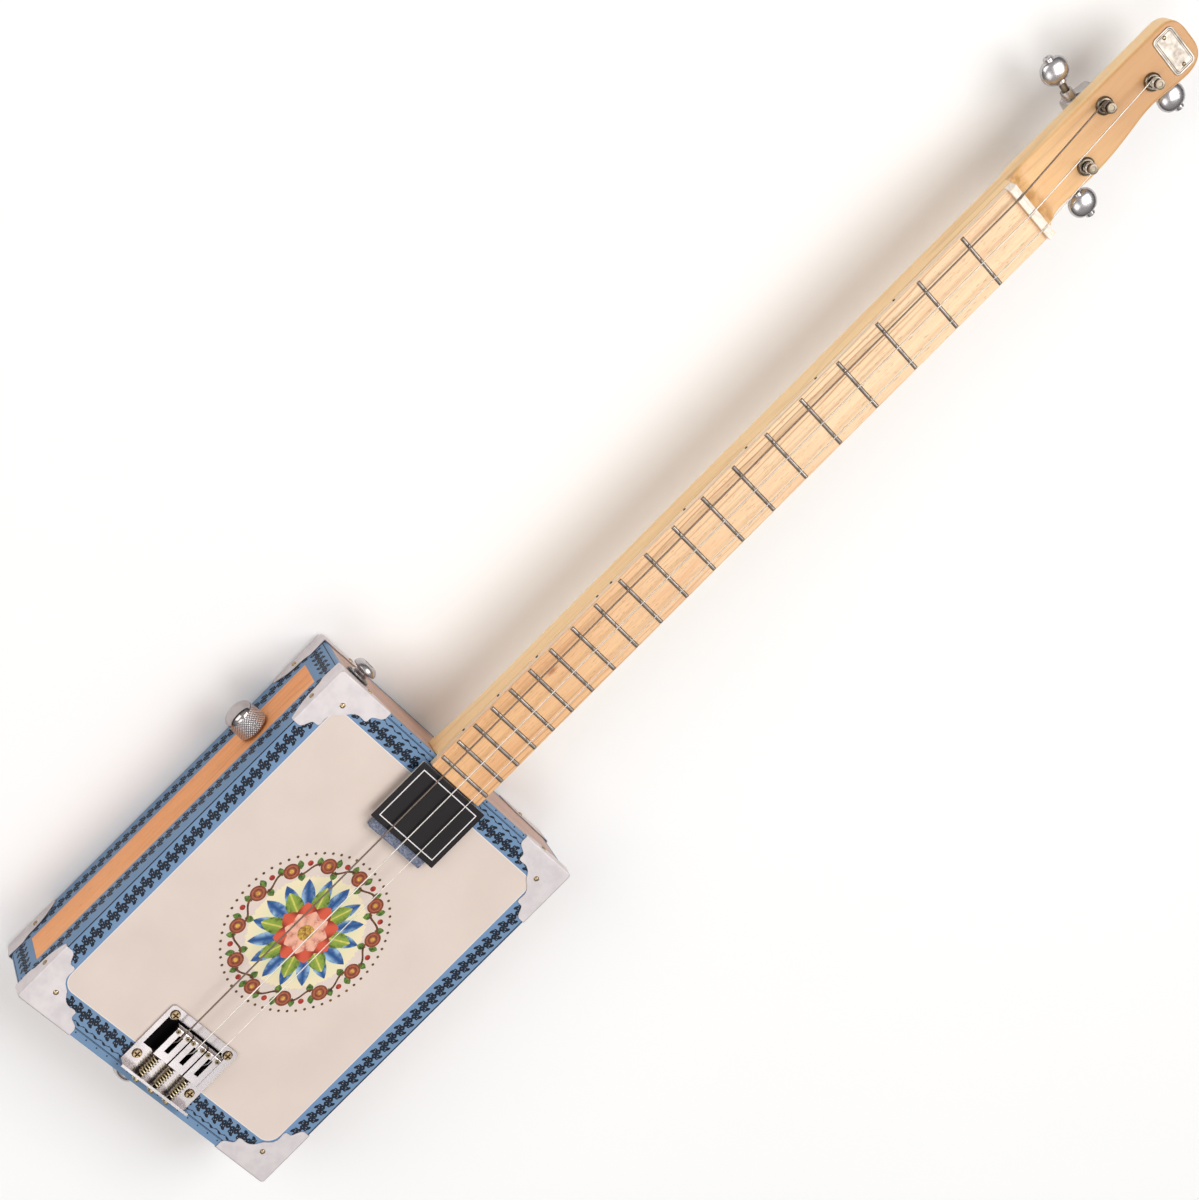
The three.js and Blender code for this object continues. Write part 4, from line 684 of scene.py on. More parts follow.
def bridge_metal():
    """Chrome plate, yellower on its four screws, with painted shade in their crosses and round their rims, and
    nearly black painted shade on the plate under the saddles.
    """
    finish, worn = metal_finish("bridge chrome", "CBC4C4", "B4ACAC", 0.22, 0.3, 0.4)
    radius = BRIDGE_SCREWS["radius"]
    half = BRIDGE_SCREWS["apart"] / 2
    dx = abs(finish.x) - BRIDGE_SCREWS["half_x"]
    dy = abs(finish.y - (BRIDGE_SCREWS["front"] - half)) - half
    to_screw = dx.hypotenuse(dy)
    screw = (to_screw < radius) & (finish.z > BRIDGE_SCREWS["level"])
    # Painted shade: the plate under the saddles is coloured nearly black and made duller
    (x_low, x_high), (y_low, y_high) = SHADE_UNDER_SADDLES
    inside = (finish.x > x_low) & (finish.x < x_high) & (finish.y > y_low) & (finish.y < y_high)
    painted_shade_under_saddles = inside & (finish.z < BRIDGE_SCREWS["plate_level"]) & (to_screw > radius + 0.4)
    arm = BRIDGE_SCREWS["arm"]
    # Painted shade: each screw's cross and a ring round its head are coloured dark brown
    cross = screw & ((abs(dx) < arm) | (abs(dy) < arm)) & (to_screw < BRIDGE_SCREWS["cross"])
    rim = abs(to_screw - BRIDGE_SCREWS["rim"]) < 0.22
    colour = finish.mix(screw, worn["Color"], "B09A78")
    colour = finish.mix(cross | rim, colour, "5E4A32")
    return finish.done(finish.mix(painted_shade_under_saddles, colour, NEARLY_BLACK), worn["Roughness"] + painted_shade_under_saddles * 0.4)


def saddle_metal():
    """Chrome saddle with two darker height screws, and nearly black painted shade inside its slot and along
    its sides.
    """
    finish, worn = metal_finish("saddle chrome", "CFC8C8", "B6AEAE", 0.2, 0.28, 0.4)
    from_string = abs(finish.x.repeated(BRIDGE_SPACING))
    dy = finish.y - (SADDLE_FRONT - HEIGHT_SCREW["from_front"])
    screw = (from_string - HEIGHT_SCREW["half_x"]).hypotenuse(dy) < HEIGHT_SCREW["radius"]
    in_slot = (finish.y > SADDLE_SLOT[0] - GAP) & (finish.y < SADDLE_SLOT[1] + GAP)
    slot_painted_shade = in_slot & (from_string < SADDLE_SLOT_HALF + 0.1) & (finish.z < BOX_TOP + SADDLE_TOP - 0.25)
    # Painted shade: the slot's inside and a strip along each side of the saddle are coloured nearly black and
    # made duller
    dark = slot_painted_shade | (from_string > SADDLE_HALF_WIDTH - 0.22)
    colour = finish.mix(dark, finish.mix(screw, worn["Color"], "8E7E66"), NEARLY_BLACK)
    return finish.done(colour, worn["Roughness"] + dark * 0.4)


def intonation_metal():
    """Brass screw, coloured dark along the thread inside its spring as painted shade."""
    finish, worn = metal_finish("intonation screw", "CDBB98", "94805C", 0.18, 0.34)
    # Painted shade: the thread inside the spring is coloured nearly black and made duller
    thread_painted_shade = finish.y > LIP_INNER
    colour = finish.mix(thread_painted_shade, worn["Color"], "2E2820")
    return finish.done(colour, worn["Roughness"] + thread_painted_shade * 0.3, worn["Height"], METAL_DEPTH)


def knurled_metal():
    """The knob: a diamond knurl round its skirt with painted shade in its grooves, and a polished dome."""
    finish, worn = metal_finish("knurled chrome", "B9B1B0", "948C8B", 0.08, 0.2)
    outward = -finish.x - HALF_WIDTH
    angle = (finish.z - KNOB["z"]).turn_from(finish.y - KNOB["y"])
    left = (angle * KNURL["count"] + outward * KNURL["slope"]).sine()
    right = (angle * KNURL["count"] - outward * KNURL["slope"]).sine()
    skirt = (outward > KNURL["low"]) & (outward < KNURL["high"])
    diamonds = (abs(left) * abs(right)).power(0.5)
    # Painted shade: the grooves between the knurl's diamonds are coloured dark, on a paler skirt
    groove_painted_shade = skirt.without(diamonds.eased(0.2, 0.8))
    colour = finish.mix(groove_painted_shade, finish.mix(skirt, worn["Color"], "F4EEEC"), "3A3535")
    return finish.done(colour, worn["Roughness"] + skirt * 0.2, diamonds & skirt, 0.25)


def pickup_face():
    """Black plate with a thin pale line inside its edge, and a pale raw edge."""
    finish = Finish("pickup plate", {"Specular IOR Level": 0.3})
    paper = finish.paper()
    tone = paper["Tone"]
    side = abs(finish.x) - PICKUP_PLATE["half_width"]
    middle = (PICKUP_PLATE["rear"] + PICKUP_PLATE["front"]) / 2
    end = abs(finish.y - middle) - (PICKUP_PLATE["front"] - PICKUP_PLATE["rear"]) / 2
    stripe = abs(-(side | end) - PICKUP_PLATE["stripe"]) < PICKUP_PLATE["stripe_half"]
    colour = finish.mix(stripe, finish.mix(tone, "1A1416", "110D0F"), "E9E2E2")
    colour = finish.mix(finish.z < PICKUP_PLATE["raw_below"], colour, "CFC6BE")
    return finish.done(colour, tone.eased(0.2, 0.8, 0.28, 0.42), paper["Height"], 0.01)


def mottled(name, first, second, scale, roughness, depth, constants=None):
    """A matt or moulded stuff with a fine uneven tone."""
    finish = Finish(name, constants)
    speckle = finish.place.noise(scale, 4.0, 0.65)
    gloss = speckle.eased(0.3, 0.7, roughness - 0.06, roughness + 0.06)
    return finish.done(finish.mix(speckle.eased(0.35, 0.65), first, second), gloss, speckle, depth)


def wound_wire(name, light, groove_painted_shade, pitch, roughness):
    """Wire wound round its length, which runs mostly along Y, with painted shade in the groove between turns.
    """
    finish = Finish(name, {"Metallic": 1.0})
    turn = ((finish.y + finish.x * 0.4) * (2 * math.pi / pitch)).sine() * 0.5 + 0.5
    gloss = finish.place.noise(0.8, 3.0).eased(0.3, 0.7, roughness - 0.05, roughness + 0.08)
    # Painted shade: the colour darkens from the crest of each turn into the groove colour
    return finish.done(finish.mix(turn.power(0.6), groove_painted_shade, light), gloss, turn, 0.05)


def bone_stuff():
    finish = Finish("bone", {"Subsurface Weight": 0.08, "Subsurface Radius": (0.004, 0.003, 0.002),
                             "Coat Weight": 0.15, "Coat Roughness": 0.2})
    streak = finish.place.scaled((0.25, 1.0, 1.0)).noise(1.2, 4.0, 0.6)
    colour = finish.mix(streak.eased(0.35, 0.65), "FFF4E6", "F2DEC9")
    return finish.done(colour, streak.eased(0.3, 0.7, 0.32, 0.42), streak, 0.02)


LOOKS = {
    "lid": lid_print(),
    "side": side_print(),
    "end": end_wood(),
    "back": back_print(),
    "neck": neck_wood(),
    "fretboard": fretboard_wood(),
    "bone": bone_stuff(),
    "nickel": metal("satin nickel", "E2DADA", "D6CECF", 0.55, 0.65, depth=0),
    "nail": metal("nail brass", "C3AE8A", "7C6A4C", 0.2, 0.4),
    "chrome": metal("tuner chrome", "C6C1C1", "A5A0A0", 0.2, 0.32),
    "old_steel": metal("tuner steel", "8F8474", "5A5045", 0.24, 0.42),
    "fret": metal("fret wire", "A39A92", "6F665F", 0.22, 0.4),
    "plate": metal("head plate nickel", "ABA399", "7A7067", 0.26, 0.42, 2.0),
    "brass": metal("spring brass", "F8E9C4", "D2BB8A", 0.24, 0.36, depth=0),
    "intonation": intonation_metal(),
    "steel": metal("plain steel", "B9B6B3", "8C8885", 0.2, 0.36),
    "bridge": bridge_metal(),
    "saddle": saddle_metal(),
    "knob": knurled_metal(),
    "pickup": pickup_face(),
    "pad": mottled("pickup pad", "858B9E", "4C5266", 0.9, 0.8, 0.12, {"Sheen Weight": 0.3}),
    "felt": mottled("strap felt", "2A262A", "0E0C0E", 2.2, 0.92, 0.3, {"Sheen Weight": 0.6}),
    "jacket": mottled("lead jacket", "3A3A3E", "232326", 1.1, 0.5, 0.02),
    "dot": mottled("side dot", "201C1A", "120F0E", 2.0, 0.4, 0.01),
    "wound_string": wound_wire("wound string", "A08F82", "4A3E36", 0.45, 0.35),
    "plain_string": metal("plain string", "ECE6DF", "D2CBC2", 0.3, 0.42, depth=0),
}


# Meshes
BODY_OF = {
    node: body
    for body, members in frame["record"]["behaviour"]["bodies"].items()
    for node in members
}


def moved(shape, place):
    points, faces = shape
    return [place @ Vector(point) for point in points], faces


def together(*shapes):
    points = []
    faces = []
    for some_points, some_faces in shapes:
        shift = len(points)
        points.extend(some_points)
        faces.extend([index + shift for index in face] for face in some_faces)
    return points, faces


def turned(profile, steps):
    """A profile of (radius, height) turned about Z."""
    points = []
    rings = []
    for radius, height in profile:
        count = steps if radius > 0 else 1
        rings.append(range(len(points), len(points) + count))
        for i in range(count):
            angle = 2 * math.pi * i / count
            points.append(Vector((radius * math.cos(angle), radius * math.sin(angle), height)))
    faces = []
    for low, high in zip(rings, rings[1:]):
        for i in range(steps):
            j = (i + 1) % steps
            corners = (low[i % len(low)], low[j % len(low)], high[j % len(high)], high[i % len(high)])
            face = list(dict.fromkeys(corners))
            if len(face) > 2:
                faces.append(face)
    return points, faces


def prism(outline, low, high):
    """An outline of (x, y) points raised from low to high."""
    count = len(outline)
    points = [Vector((x, y, z)) for z in (low, high) for x, y in outline]
    faces = [list(range(count))[::-1], list(range(count, 2 * count))]
    for i in range(count):
        j = (i + 1) % count
        faces.append([i, j, j + count, i + count])
    return points, faces


def block(x, y, z):
    return prism([(x[0], y[0]), (x[1], y[0]), (x[1], y[1]), (x[0], y[1])], z[0], z[1])


def lofted(sections):
    count = len(sections[0])
    points = [point for section in sections for point in section]
    faces = [list(range(count))[::-1], list(range(len(points) - count, len(points)))]
    for s in range(len(sections) - 1):
        for i in range(count):
            j = (i + 1) % count
            faces.append([s * count + i, s * count + j, (s + 1) * count + j, (s + 1) * count + i])
    return points, faces


def smooth_path(points, steps):
    """Points along a curve that passes through the given ones."""
    padded = [points[0], *points, points[-1]]
    path = []
    for a, b, c, d in zip(padded, padded[1:], padded[2:], padded[3:]):
        for step in range(steps):
            t = step / steps
            path.append(tuple(
                0.5 * (
                    2 * q + (r - p) * t + (2 * p - 5 * q + 4 * r - s) * t**2 + (3 * q - p - 3 * r + s) * t**3
                )
                for p, q, r, s in zip(a, b, c, d)
            ))
    return [*path, tuple(points[-1])]


def round_corners(centres, radii):
    """Points round four corners, quarter by quarter from the one at upper right."""
    return [
        (x + radius * math.cos(angle), y + radius * math.sin(angle))
        for quarter, ((x, y), radius) in enumerate(zip(centres, radii))
        for angle in (math.pi / 2 * (quarter + i / CORNER_STEPS) for i in range(CORNER_STEPS + 1))
    ]


def dome(radius, rise, steps, base=0.0):
    """Profile of a dome, from its rim to its top."""
    angles = [math.pi / 2 * i / steps for i in range(steps)]
    return [*((radius * math.cos(a), base + rise * math.sin(a)) for a in angles), (0, base + rise)]


def towards(direction, origin):
    """Stands a shape made along +Z on origin, aimed along direction."""
    return Matrix.Translation(origin) @ Vector(direction).to_track_quat("Z", "Y").to_matrix().to_4x4()


@contextmanager
def new_mesh(name, source=None):
    """A mesh and the bmesh that fills it, empty or started from another mesh."""
    mesh = bpy.data.meshes.new(name)
    work = bmesh.new()
    if source:
        work.from_mesh(source)
    yield mesh, work
    work.to_mesh(mesh)
    work.free()


def bevel(work, lines, width, segments):
    bmesh.ops.bevel(work, geom=lines, offset=width * MM, segments=segments, profile=0.5, affect="EDGES")


def mesh_of(name, shape):
    points, faces = shape
    with new_mesh(name) as (mesh, work):
        vertices = [work.verts.new(Vector(point) * MM) for point in points]
        for face in faces:
            work.faces.new([vertices[i] for i in face])
        bmesh.ops.remove_doubles(work, verts=work.verts, dist=WELD)
        bmesh.ops.recalc_face_normals(work, faces=work.faces)
    return mesh


def new_object(name, data):
    thing = bpy.data.objects.new(name, data)
    bpy.context.scene.collection.objects.link(thing)
    return thing


def evaluated(thing):
    """The mesh of an object with its modifiers or wire thickness. The object goes."""
    graph = bpy.context.evaluated_depsgraph_get()
    mesh = bpy.data.meshes.new_from_object(thing.evaluated_get(graph))
    bpy.data.objects.remove(thing)
    return mesh


def settle(name, data, look, body, nodes=()):
    """Makes a thing with its material, its body and the CAD nodes it stands for."""
    thing = new_object(name, data)
    data.materials.clear()
    data.materials.append(LOOKS[look])
    if body:
        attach(thing, body)
    if nodes:
        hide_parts(*nodes)
    return thing


def piece(name, shape, look, nodes=(), body="guitar", sharp=35.0, edge=0.0, segments=2):
    """A finished piece from a mesh, or from points and faces."""
    mesh = shape if isinstance(shape, bpy.types.Mesh) else mesh_of(name, shape)
    thing = settle(name, mesh, look, body, nodes)
    mesh.shade_smooth()
    mesh.set_sharp_from_angle(angle=math.radians(sharp))
    if edge:
        rounding = thing.modifiers.new("edge rounding", "BEVEL")
        rounding.width = edge * MM
        rounding.segments = segments
        rounding.limit_method = "ANGLE"
        rounding.angle_limit = math.radians(sharp)
    flat_faces = thing.modifiers.new("flat faces", "WEIGHTED_NORMAL")
    flat_faces.mode = "FACE_AREA"
    flat_faces.weight = 90
    flat_faces.keep_sharp = True
    return thing


def wire(name, points, radius):
    """A round wire along points."""
    curve = bpy.data.curves.new(name, "CURVE")
    curve.dimensions = "3D"
    curve.bevel_depth = radius * MM
    curve.bevel_resolution = 4
    curve.use_fill_caps = True
    spline = curve.splines.new("POLY")
    spline.points.add(len(points) - 1)
    for target, point in zip(spline.points, points):
        target.co = (*(Vector(point) * MM), 1.0)
    return curve


def is_box_corner(line):
    """Whether an edge stands upright at one of the box's four corners."""
    low, high = (vertex.co for vertex in line.verts)
    at_side = abs(low.x) > (HALF_WIDTH - GAP) * MM
    at_end = abs(low.y) > (HALF_LENGTH - GAP) * MM
    return at_side and at_end and (low.xy - high.xy).length < WELD


def dressed(node, look, edge, corner_rounding=0.0, segments=2):
    """The CAD node's own shape with clean faces and softened edges."""
    with new_mesh("dressed_" + node, frame["nodes"][node].data) as (mesh, work):
        bmesh.ops.remove_doubles(work, verts=work.verts, dist=WELD)
        bmesh.ops.dissolve_limit(work, angle_limit=math.radians(1.0), verts=work.verts, edges=work.edges)
        if corner_rounding:
            bevel(work, [line for line in work.edges if is_box_corner(line)], corner_rounding, 5)
        wide = [face for face in work.faces if len(face.verts) > 4]
        bmesh.ops.triangulate(work, faces=wide, ngon_method="EAR_CLIP")
    piece(node + "_look", mesh, look, (node,), BODY_OF[node], edge=edge, segments=segments)


# Box
def make_box():
    dressed("lid", "lid", BOARD_EDGE, BOX_CORNER_ROUNDING)
    for node, look in (("back_board", "back"), ("side_bass", "side"), ("side_treble", "side")):
        dressed(node, look, BOARD_EDGE, BOX_CORNER_ROUNDING)
    for end in ("neck", "tail"):
        dressed("end_" + end, "end", BOARD_EDGE)


# Corner protectors
def corner_skin():
    """Outer face of one protector: X and Y run inwards from the box's corner, Z outwards."""
    wall = CORNER["wall"]
    reach = CORNER["reach"]
    half = smooth_path([(a * reach, b * reach) for a, b in CORNER_OUTLINE_SHARES[1:]], 4)
    outline = [(-wall, reach), *half, *[(b, a) for a, b in half[-2::-1]], (reach, -wall)]
    top = [Vector((-wall, -wall, wall))] + [Vector((x, y, wall)) for x, y in outline]
    flange = smooth_path([(a * reach, -b * reach) for a, b in FLANGE_OUTLINE_SHARES], 3)
    drop = [(-wall, flange[0][1]), *flange]
    end = [Vector((x, -wall, z)) for x, z in drop]
    side = [Vector((-wall, x, z)) for x, z in drop[1:]]
    points = [*top, *end, *side]
    first_end = len(top)
    first_side = first_end + len(end)
    end_face = [0, *range(first_end, first_side), len(top) - 1]
    side_face = [0, first_end, *range(first_side, len(points)), 1]
    return points, [list(range(len(top))), end_face, side_face[::-1]]


def fold_corner(work):
    """Rounds the upright fold, then the folds along the top's outer edges."""
    wall = CORNER["wall"] * MM
    upright = [e for e in work.edges if all(v.co.x < WELD - wall and v.co.y < WELD - wall for v in e.verts)]
    bevel(work, upright, CORNER_ROUNDING, 5)
    rim = CORNER_ROUNDING * MM + WELD
    along = [
        e for e in work.edges
        if len(e.link_faces) == 2 and all(v.co.z > wall - WELD and min(v.co.x, v.co.y) < rim for v in e.verts)
    ]
    bevel(work, along, CORNER["fold"], 3)


def make_corner(name, nails, x_side, y_side, z_side):
    origin = (x_side * HALF_WIDTH, y_side * HALF_LENGTH, BOX_TOP if z_side > 0 else 0)
    mirror = Matrix.Diagonal((-x_side, -y_side, z_side, 1))
    with new_mesh(name + "_look", mesh_of(name, corner_skin())) as (mesh, work):
        fold_corner(work)
        bmesh.ops.transform(work, matrix=Matrix.Translation(Vector(origin) * MM) @ mirror, verts=work.verts)
        bmesh.ops.recalc_face_normals(work, faces=work.faces)
        total = sum((f.normal * f.calc_area() for f in work.faces), Vector())
        if total.dot(Vector((x_side, y_side, z_side))) < 0:
            bmesh.ops.reverse_faces(work, faces=work.faces)
    shell = piece(name + "_look", mesh, "nickel", (name,), sharp=40.0)
    thicken = shell.modifiers.new("sheet metal", "SOLIDIFY")
    thicken.thickness = CORNER["wall"] * MM * CORNER["sheet_share"]
    thicken.offset = -1.0
    shell.modifiers.move(0, 1)
    piece(name + "_nails", moved(nails, Matrix.Translation(origin) @ mirror), "nail")


def make_corners():
    nail = turned([*NAIL["shank"], *dome(NAIL["radius"], NAIL["height"], 6)], 20)
    wall = CORNER["wall"]
    top, along, drop = (CORNER["reach"] * CORNER[share] for share in ("nail_top", "nail_side", "nail_drop"))
    nails = together(
        moved(nail, towards((0, 0, 1), (top, top, wall))),
        moved(nail, towards((-1, 0, 0), (-wall, along, -drop))),
        moved(nail, towards((0, -1, 0), (along, -wall, -drop))),
    )
    for level, z_side in (("upper", 1), ("lower", -1)):
        for end, y_side in (("neck", 1), ("tail", -1)):
            for side, x_side in (("bass", -1), ("treble", 1)):
                make_corner(f"corner_{level}_{end}_{side}", nails, x_side, y_side, z_side)


# Neck, fretboard, nut and head
def neck_section(y, left, right, top, bottom, low_round, high_round):
    high = top - high_round
    low = bottom + low_round
    centres = (
        (right - high_round, high), (high_round - left, high),
        (low_round - left, low), (right - low_round, low),
    )
    corners = round_corners(centres, (high_round, high_round, low_round, low_round))
    return [Vector((x, y, z)) for x, z in corners]


def neck_shape():
    sections = []
    for i in range(HEEL_STEPS + 1):
        share = i / HEEL_STEPS
        low = NECK_BACK - HEEL_DEPTH * (1 - share) ** 2
        y = HALF_LENGTH + GAP + HEEL_LENGTH * share
        sections.append(neck_section(y, HALF_NECK, HALF_NECK, BOX_TOP, low, NECK_ROUNDING, CRISP_EDGE))
    shaft_end = NUT_REAR - SCOOP_LENGTH
    sections.append(
        neck_section(shaft_end, HALF_NECK, HALF_NECK, BOX_TOP, NECK_BACK, NECK_ROUNDING, CRISP_EDGE)
    )
    scoop_share = SCOOP_LENGTH / HEAD_LENGTH
    for along, left, right in smooth_path(HEAD_OUTLINE_SHARES, 5):
        fall = min(along / scoop_share, 1)
        top = HEAD_FACE + (BOX_TOP - HEAD_FACE) * (1 - fall) ** 2
        edge = CRISP_EDGE + (HEAD_EDGE - CRISP_EDGE) * fall
        low = NECK_ROUNDING + (HEAD_BACK_EDGE - NECK_ROUNDING) * min(fall * 2, 1)
        tip = max(along - TIP_FROM, 0) / (1 - TIP_FROM)
        drop = HEAD_EDGE * (1 - math.sqrt(max(1 - tip**2, 0)))
        y = NUT_REAR + GAP + HEAD_LENGTH * along
        sections.append(
            neck_section(y, HALF_NECK * left, HALF_NECK * right, top - drop, NECK_BACK + drop, low, edge)
        )
    return lofted(sections)


def make_neck():
    tenon = block((-TENON_HALF, TENON_HALF), (TENON_END, HALF_LENGTH + 1.0), (NECK_BACK, LID_BOTTOM))
    piece("neck_look", together(neck_shape(), tenon), "neck", ("neck",), sharp=50.0)


def fret_y(number):
    return NUT_FRONT - SCALE * (1 - 2 ** (-number / 12))


def fret_shape(number):
    """One fret: its crown, lower and narrower towards both ends."""
    crown = [(FRET_HALF_WIDTH * math.cos(a), FRET_HEIGHT * math.sin(a))
             for a in (math.pi * i / 10 for i in range(11))]
    half = HALF_NECK - FRET_INSET
    ends = [(half - inset, size) for inset, size in FRET_ENDS]
    stations = [(-x, size) for x, size in ends] + ends[::-1]
    return lofted([
        [Vector((x, fret_y(number) + across, FRETBOARD_TOP + up * size - FRET_SUNK)) for across, up in crown]
        for x, size in stations
    ])


def make_fretboard():
    board = block((-HALF_NECK, HALF_NECK), (FRETBOARD_END, NUT_FRONT), (BOX_TOP, FRETBOARD_TOP))
    piece("fretboard_look", board, "fretboard", ("fretboard",), edge=0.7, segments=3)
    frets = [fret_shape(number) for number in range(1, FRET_COUNT + 1)]
    piece("frets", together(*frets), "fret", sharp=60.0)
    disc = turned(DOT_PROFILE, 20)
    dots = []
    for number in DOTTED_FRETS:
        middle = (fret_y(number) + fret_y(number - 1)) / 2
        for shift in DOUBLE_DOT if number == 12 else (0,):
            dots.append(moved(disc, towards((-1, 0, 0), (-HALF_NECK, middle + shift, DOT_HEIGHT))))
    piece("side_dots", together(*dots), "dot")
    dressed("nut", "bone", 0.3)


def make_head_plate():
    x = HEAD_PLATE["across_share"] * HALF_NECK
    y = NUT_REAR + HEAD_PLATE["along_share"] * HEAD_LENGTH
    rounding = HEAD_PLATE["rounding"]
    across = HEAD_PLATE["length"] / 2 - rounding
    along = HEAD_PLATE["width"] / 2 - rounding
    centres = [(x + way_x * across, y + way_y * along) for way_x, way_y in QUARTERS]
    top_level = HEAD_FACE + HEAD_PLATE["rise"]
    flat = prism(round_corners(centres, (rounding,) * 4), HEAD_FACE, top_level)
    with new_mesh("head_plate_look", mesh_of("head_plate", flat)) as (mesh, work):
        work.faces.ensure_lookup_table()
        top = [f for f in work.faces if f.normal.z > 0.9]
        for thickness, depth in PLATE_STEPS:
            bmesh.ops.inset_region(work, faces=top, thickness=thickness * MM, depth=depth * MM)
    piece("head_plate_look", mesh, "plate", ("head_plate",), edge=0.12)
    reach = HEAD_PLATE["length"] / 2 - HEAD_PLATE["screw_from_end"]
    screw = turned([*PLATE_SCREW["shank"], *dome(PLATE_SCREW["radius"], PLATE_SCREW["height"], 5)], 20)
    level = top_level - PLATE_SCREW["sunk"]
    screws = [moved(screw, Matrix.Translation((x + shift, y, level))) for shift in (-reach, reach)]
    piece("head_plate_screws", together(*screws), "nail")


# Tuners, in their own axes: +X to the button, origin on the head's back at the post
def button_shape(hand):
    profile = smooth_path([(a * BUTTON["radius"], b * BUTTON["length"]) for a, b in BUTTON_PROFILE_SHARES], 5)
    for end in (0, -1):
        profile[end] = (0, profile[end][1])
    profile = [(max(radius, 0), height) for radius, height in profile]
    body = moved(turned(profile, 48), Matrix.Diagonal((1, BUTTON["flat"], 1, 1)))
    aim = towards((1, 0, 0), (BUTTON["from_post"], hand * WORM_OFFSET, GEAR_LEVEL))
    return moved(together(body, turned(HUB_PROFILE, 32), turned(CAP_PROFILE, 32)), aim)


def make_tuners():
    for number, tuner in enumerate(TUNERS, 1):
        turn = Matrix.Rotation(math.radians(tuner["degrees"]), 4, "Z")
        place = Matrix.Translation((tuner["x"], tuner["y"], NECK_BACK)) @ turn
        for name, shape, look, body in (
            ("tuner_button", button_shape(tuner["hand"]), "chrome", f"tuner_key_{number}"),
            ("tuner_post", turned(POST_PROFILE, 40), "old_steel", f"string_post_{number}"),
            ("tuner_bushing", turned(BUSHING_PROFILE, 40), "old_steel", "guitar"),
        ):
            node = f"{name}_{number}"
            piece(node + "_look", moved(shape, place), look, (node,), body)
        dressed(f"tuner_housing_{number}", "chrome", 0.4)
        dressed(f"tuner_worm_{number}", "old_steel", 0.08)


# Bridge
def spring_path(x):
    tail = 2 * SPRING["wire"]
    start = LIP_INNER + GAP
    end = SADDLE_REAR - GAP
    steps = SPRING["curls"] * SPRING["steps"]
    path = [(x + SPRING["coil"], start, SCREW_LEVEL)]
    for i in range(steps + 1):
        angle = 2 * math.pi * i / SPRING["steps"]
        y = start + tail + (end - start - 2 * tail) * i / steps
        path.append((x + SPRING["coil"] * math.cos(angle), y, SCREW_LEVEL + SPRING["coil"] * math.sin(angle)))
    path.append((x + SPRING["coil"], end, SCREW_LEVEL))
    return path


def make_spring(count, x):
    """A coiled brass wire from the lip to the rear of its saddle, made in place and attached to no body."""
    name = f"spring_{count}_look"
    mesh = evaluated(new_object(name, wire(name, spring_path(x), SPRING["wire"])))
    spring = settle(name, mesh, "brass", None, (f"intonation_spring_{count}",))
    mesh.shade_smooth()
    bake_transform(spring)


def make_bridge():
    dressed("bridge_plate", "bridge", 0.35, segments=3)
    for count in (1, 2, 3):
        dressed(f"saddle_{count}", "saddle", 0.3, segments=3)
        dressed(f"intonation_screw_{count}", "intonation", 0.12)
        make_spring(count, (count - 2) * BRIDGE_SPACING)


# Strings
def string_path(count, tuner, radius):
    bridge_x = (count - 2) * BRIDGE_SPACING
    nut_x = (count - 2) * NUT_SPACING
    low = BOX_TOP + STRING_HOLE_HEIGHT
    top = BOX_TOP + SADDLE_TOP + STRING_LIFT + radius
    rest = NUT_SLOT_FLOOR + GAP + radius
    leaving = Vector((nut_x, NUT_REAR, rest - GAP / 2))
    path = [Vector(point) for point in (
        (bridge_x, BRIDGE_REAR - GAP - BALL_RADIUS, low),
        (bridge_x, BRIDGE_REAR - GAP, low),
        (bridge_x, SADDLE_SLOT[0] + SADDLE_TRAVEL_ROOM, low),
        (bridge_x, SADDLE_SLOT[1] - SADDLE_TRAVEL_ROOM, top),
        (bridge_x, SADDLE_FRONT - SADDLE_NOSE, top),
        (nut_x, NUT_FRONT, rest + GAP / 2),
        (nut_x, (NUT_FRONT + NUT_REAR) / 2, rest),
        leaving,
    )]
    coil = POST["waist"] + GAP + radius
    climb = 2 * radius + WINDING["clearance"]
    lowest = HEAD_FACE + POST["waist_to"] - POST["hole"] - GAP - climb * WINDING["turns"]
    x = tuner["x"]
    y = tuner["y"]
    across = Vector((x - leaving.x, y - leaving.y))
    side = tuner["string_side"]
    first = math.atan2(across.y, across.x) + math.pi + side * math.acos(coil / across.length)
    for i in range(WINDING["turns"] * WINDING["steps"] + 1):
        angle = first + side * 2 * math.pi * i / WINDING["steps"]
        height = lowest + climb * i / WINDING["steps"]
        path.append(Vector((x + coil * math.cos(angle), y + coil * math.sin(angle), height)))
    path.append(path[-1] + (path[-1] - path[-2]).normalized() * 2 * radius)
    return path


def make_strings():
    for count, tuner, radius, look in zip((1, 2, 3), TUNERS, STRING_RADII, STRING_LOOKS):
        name = f"string_{count}"
        path = string_path(count, tuner, radius)
        settle(name + "_look", wire(name + "_look", path, radius), look, "guitar", (name,))
        ball = moved(turned(BALL_PROFILE, 24), towards((1, 0, 0), path[0]))
        piece(name + "_ball", ball, "brass")


# Pickup
def make_pickup():
    dressed("pickup_plate", "pickup", 0.4, segments=3)
    dressed("pickup_body", "pad", 0.8, segments=3)


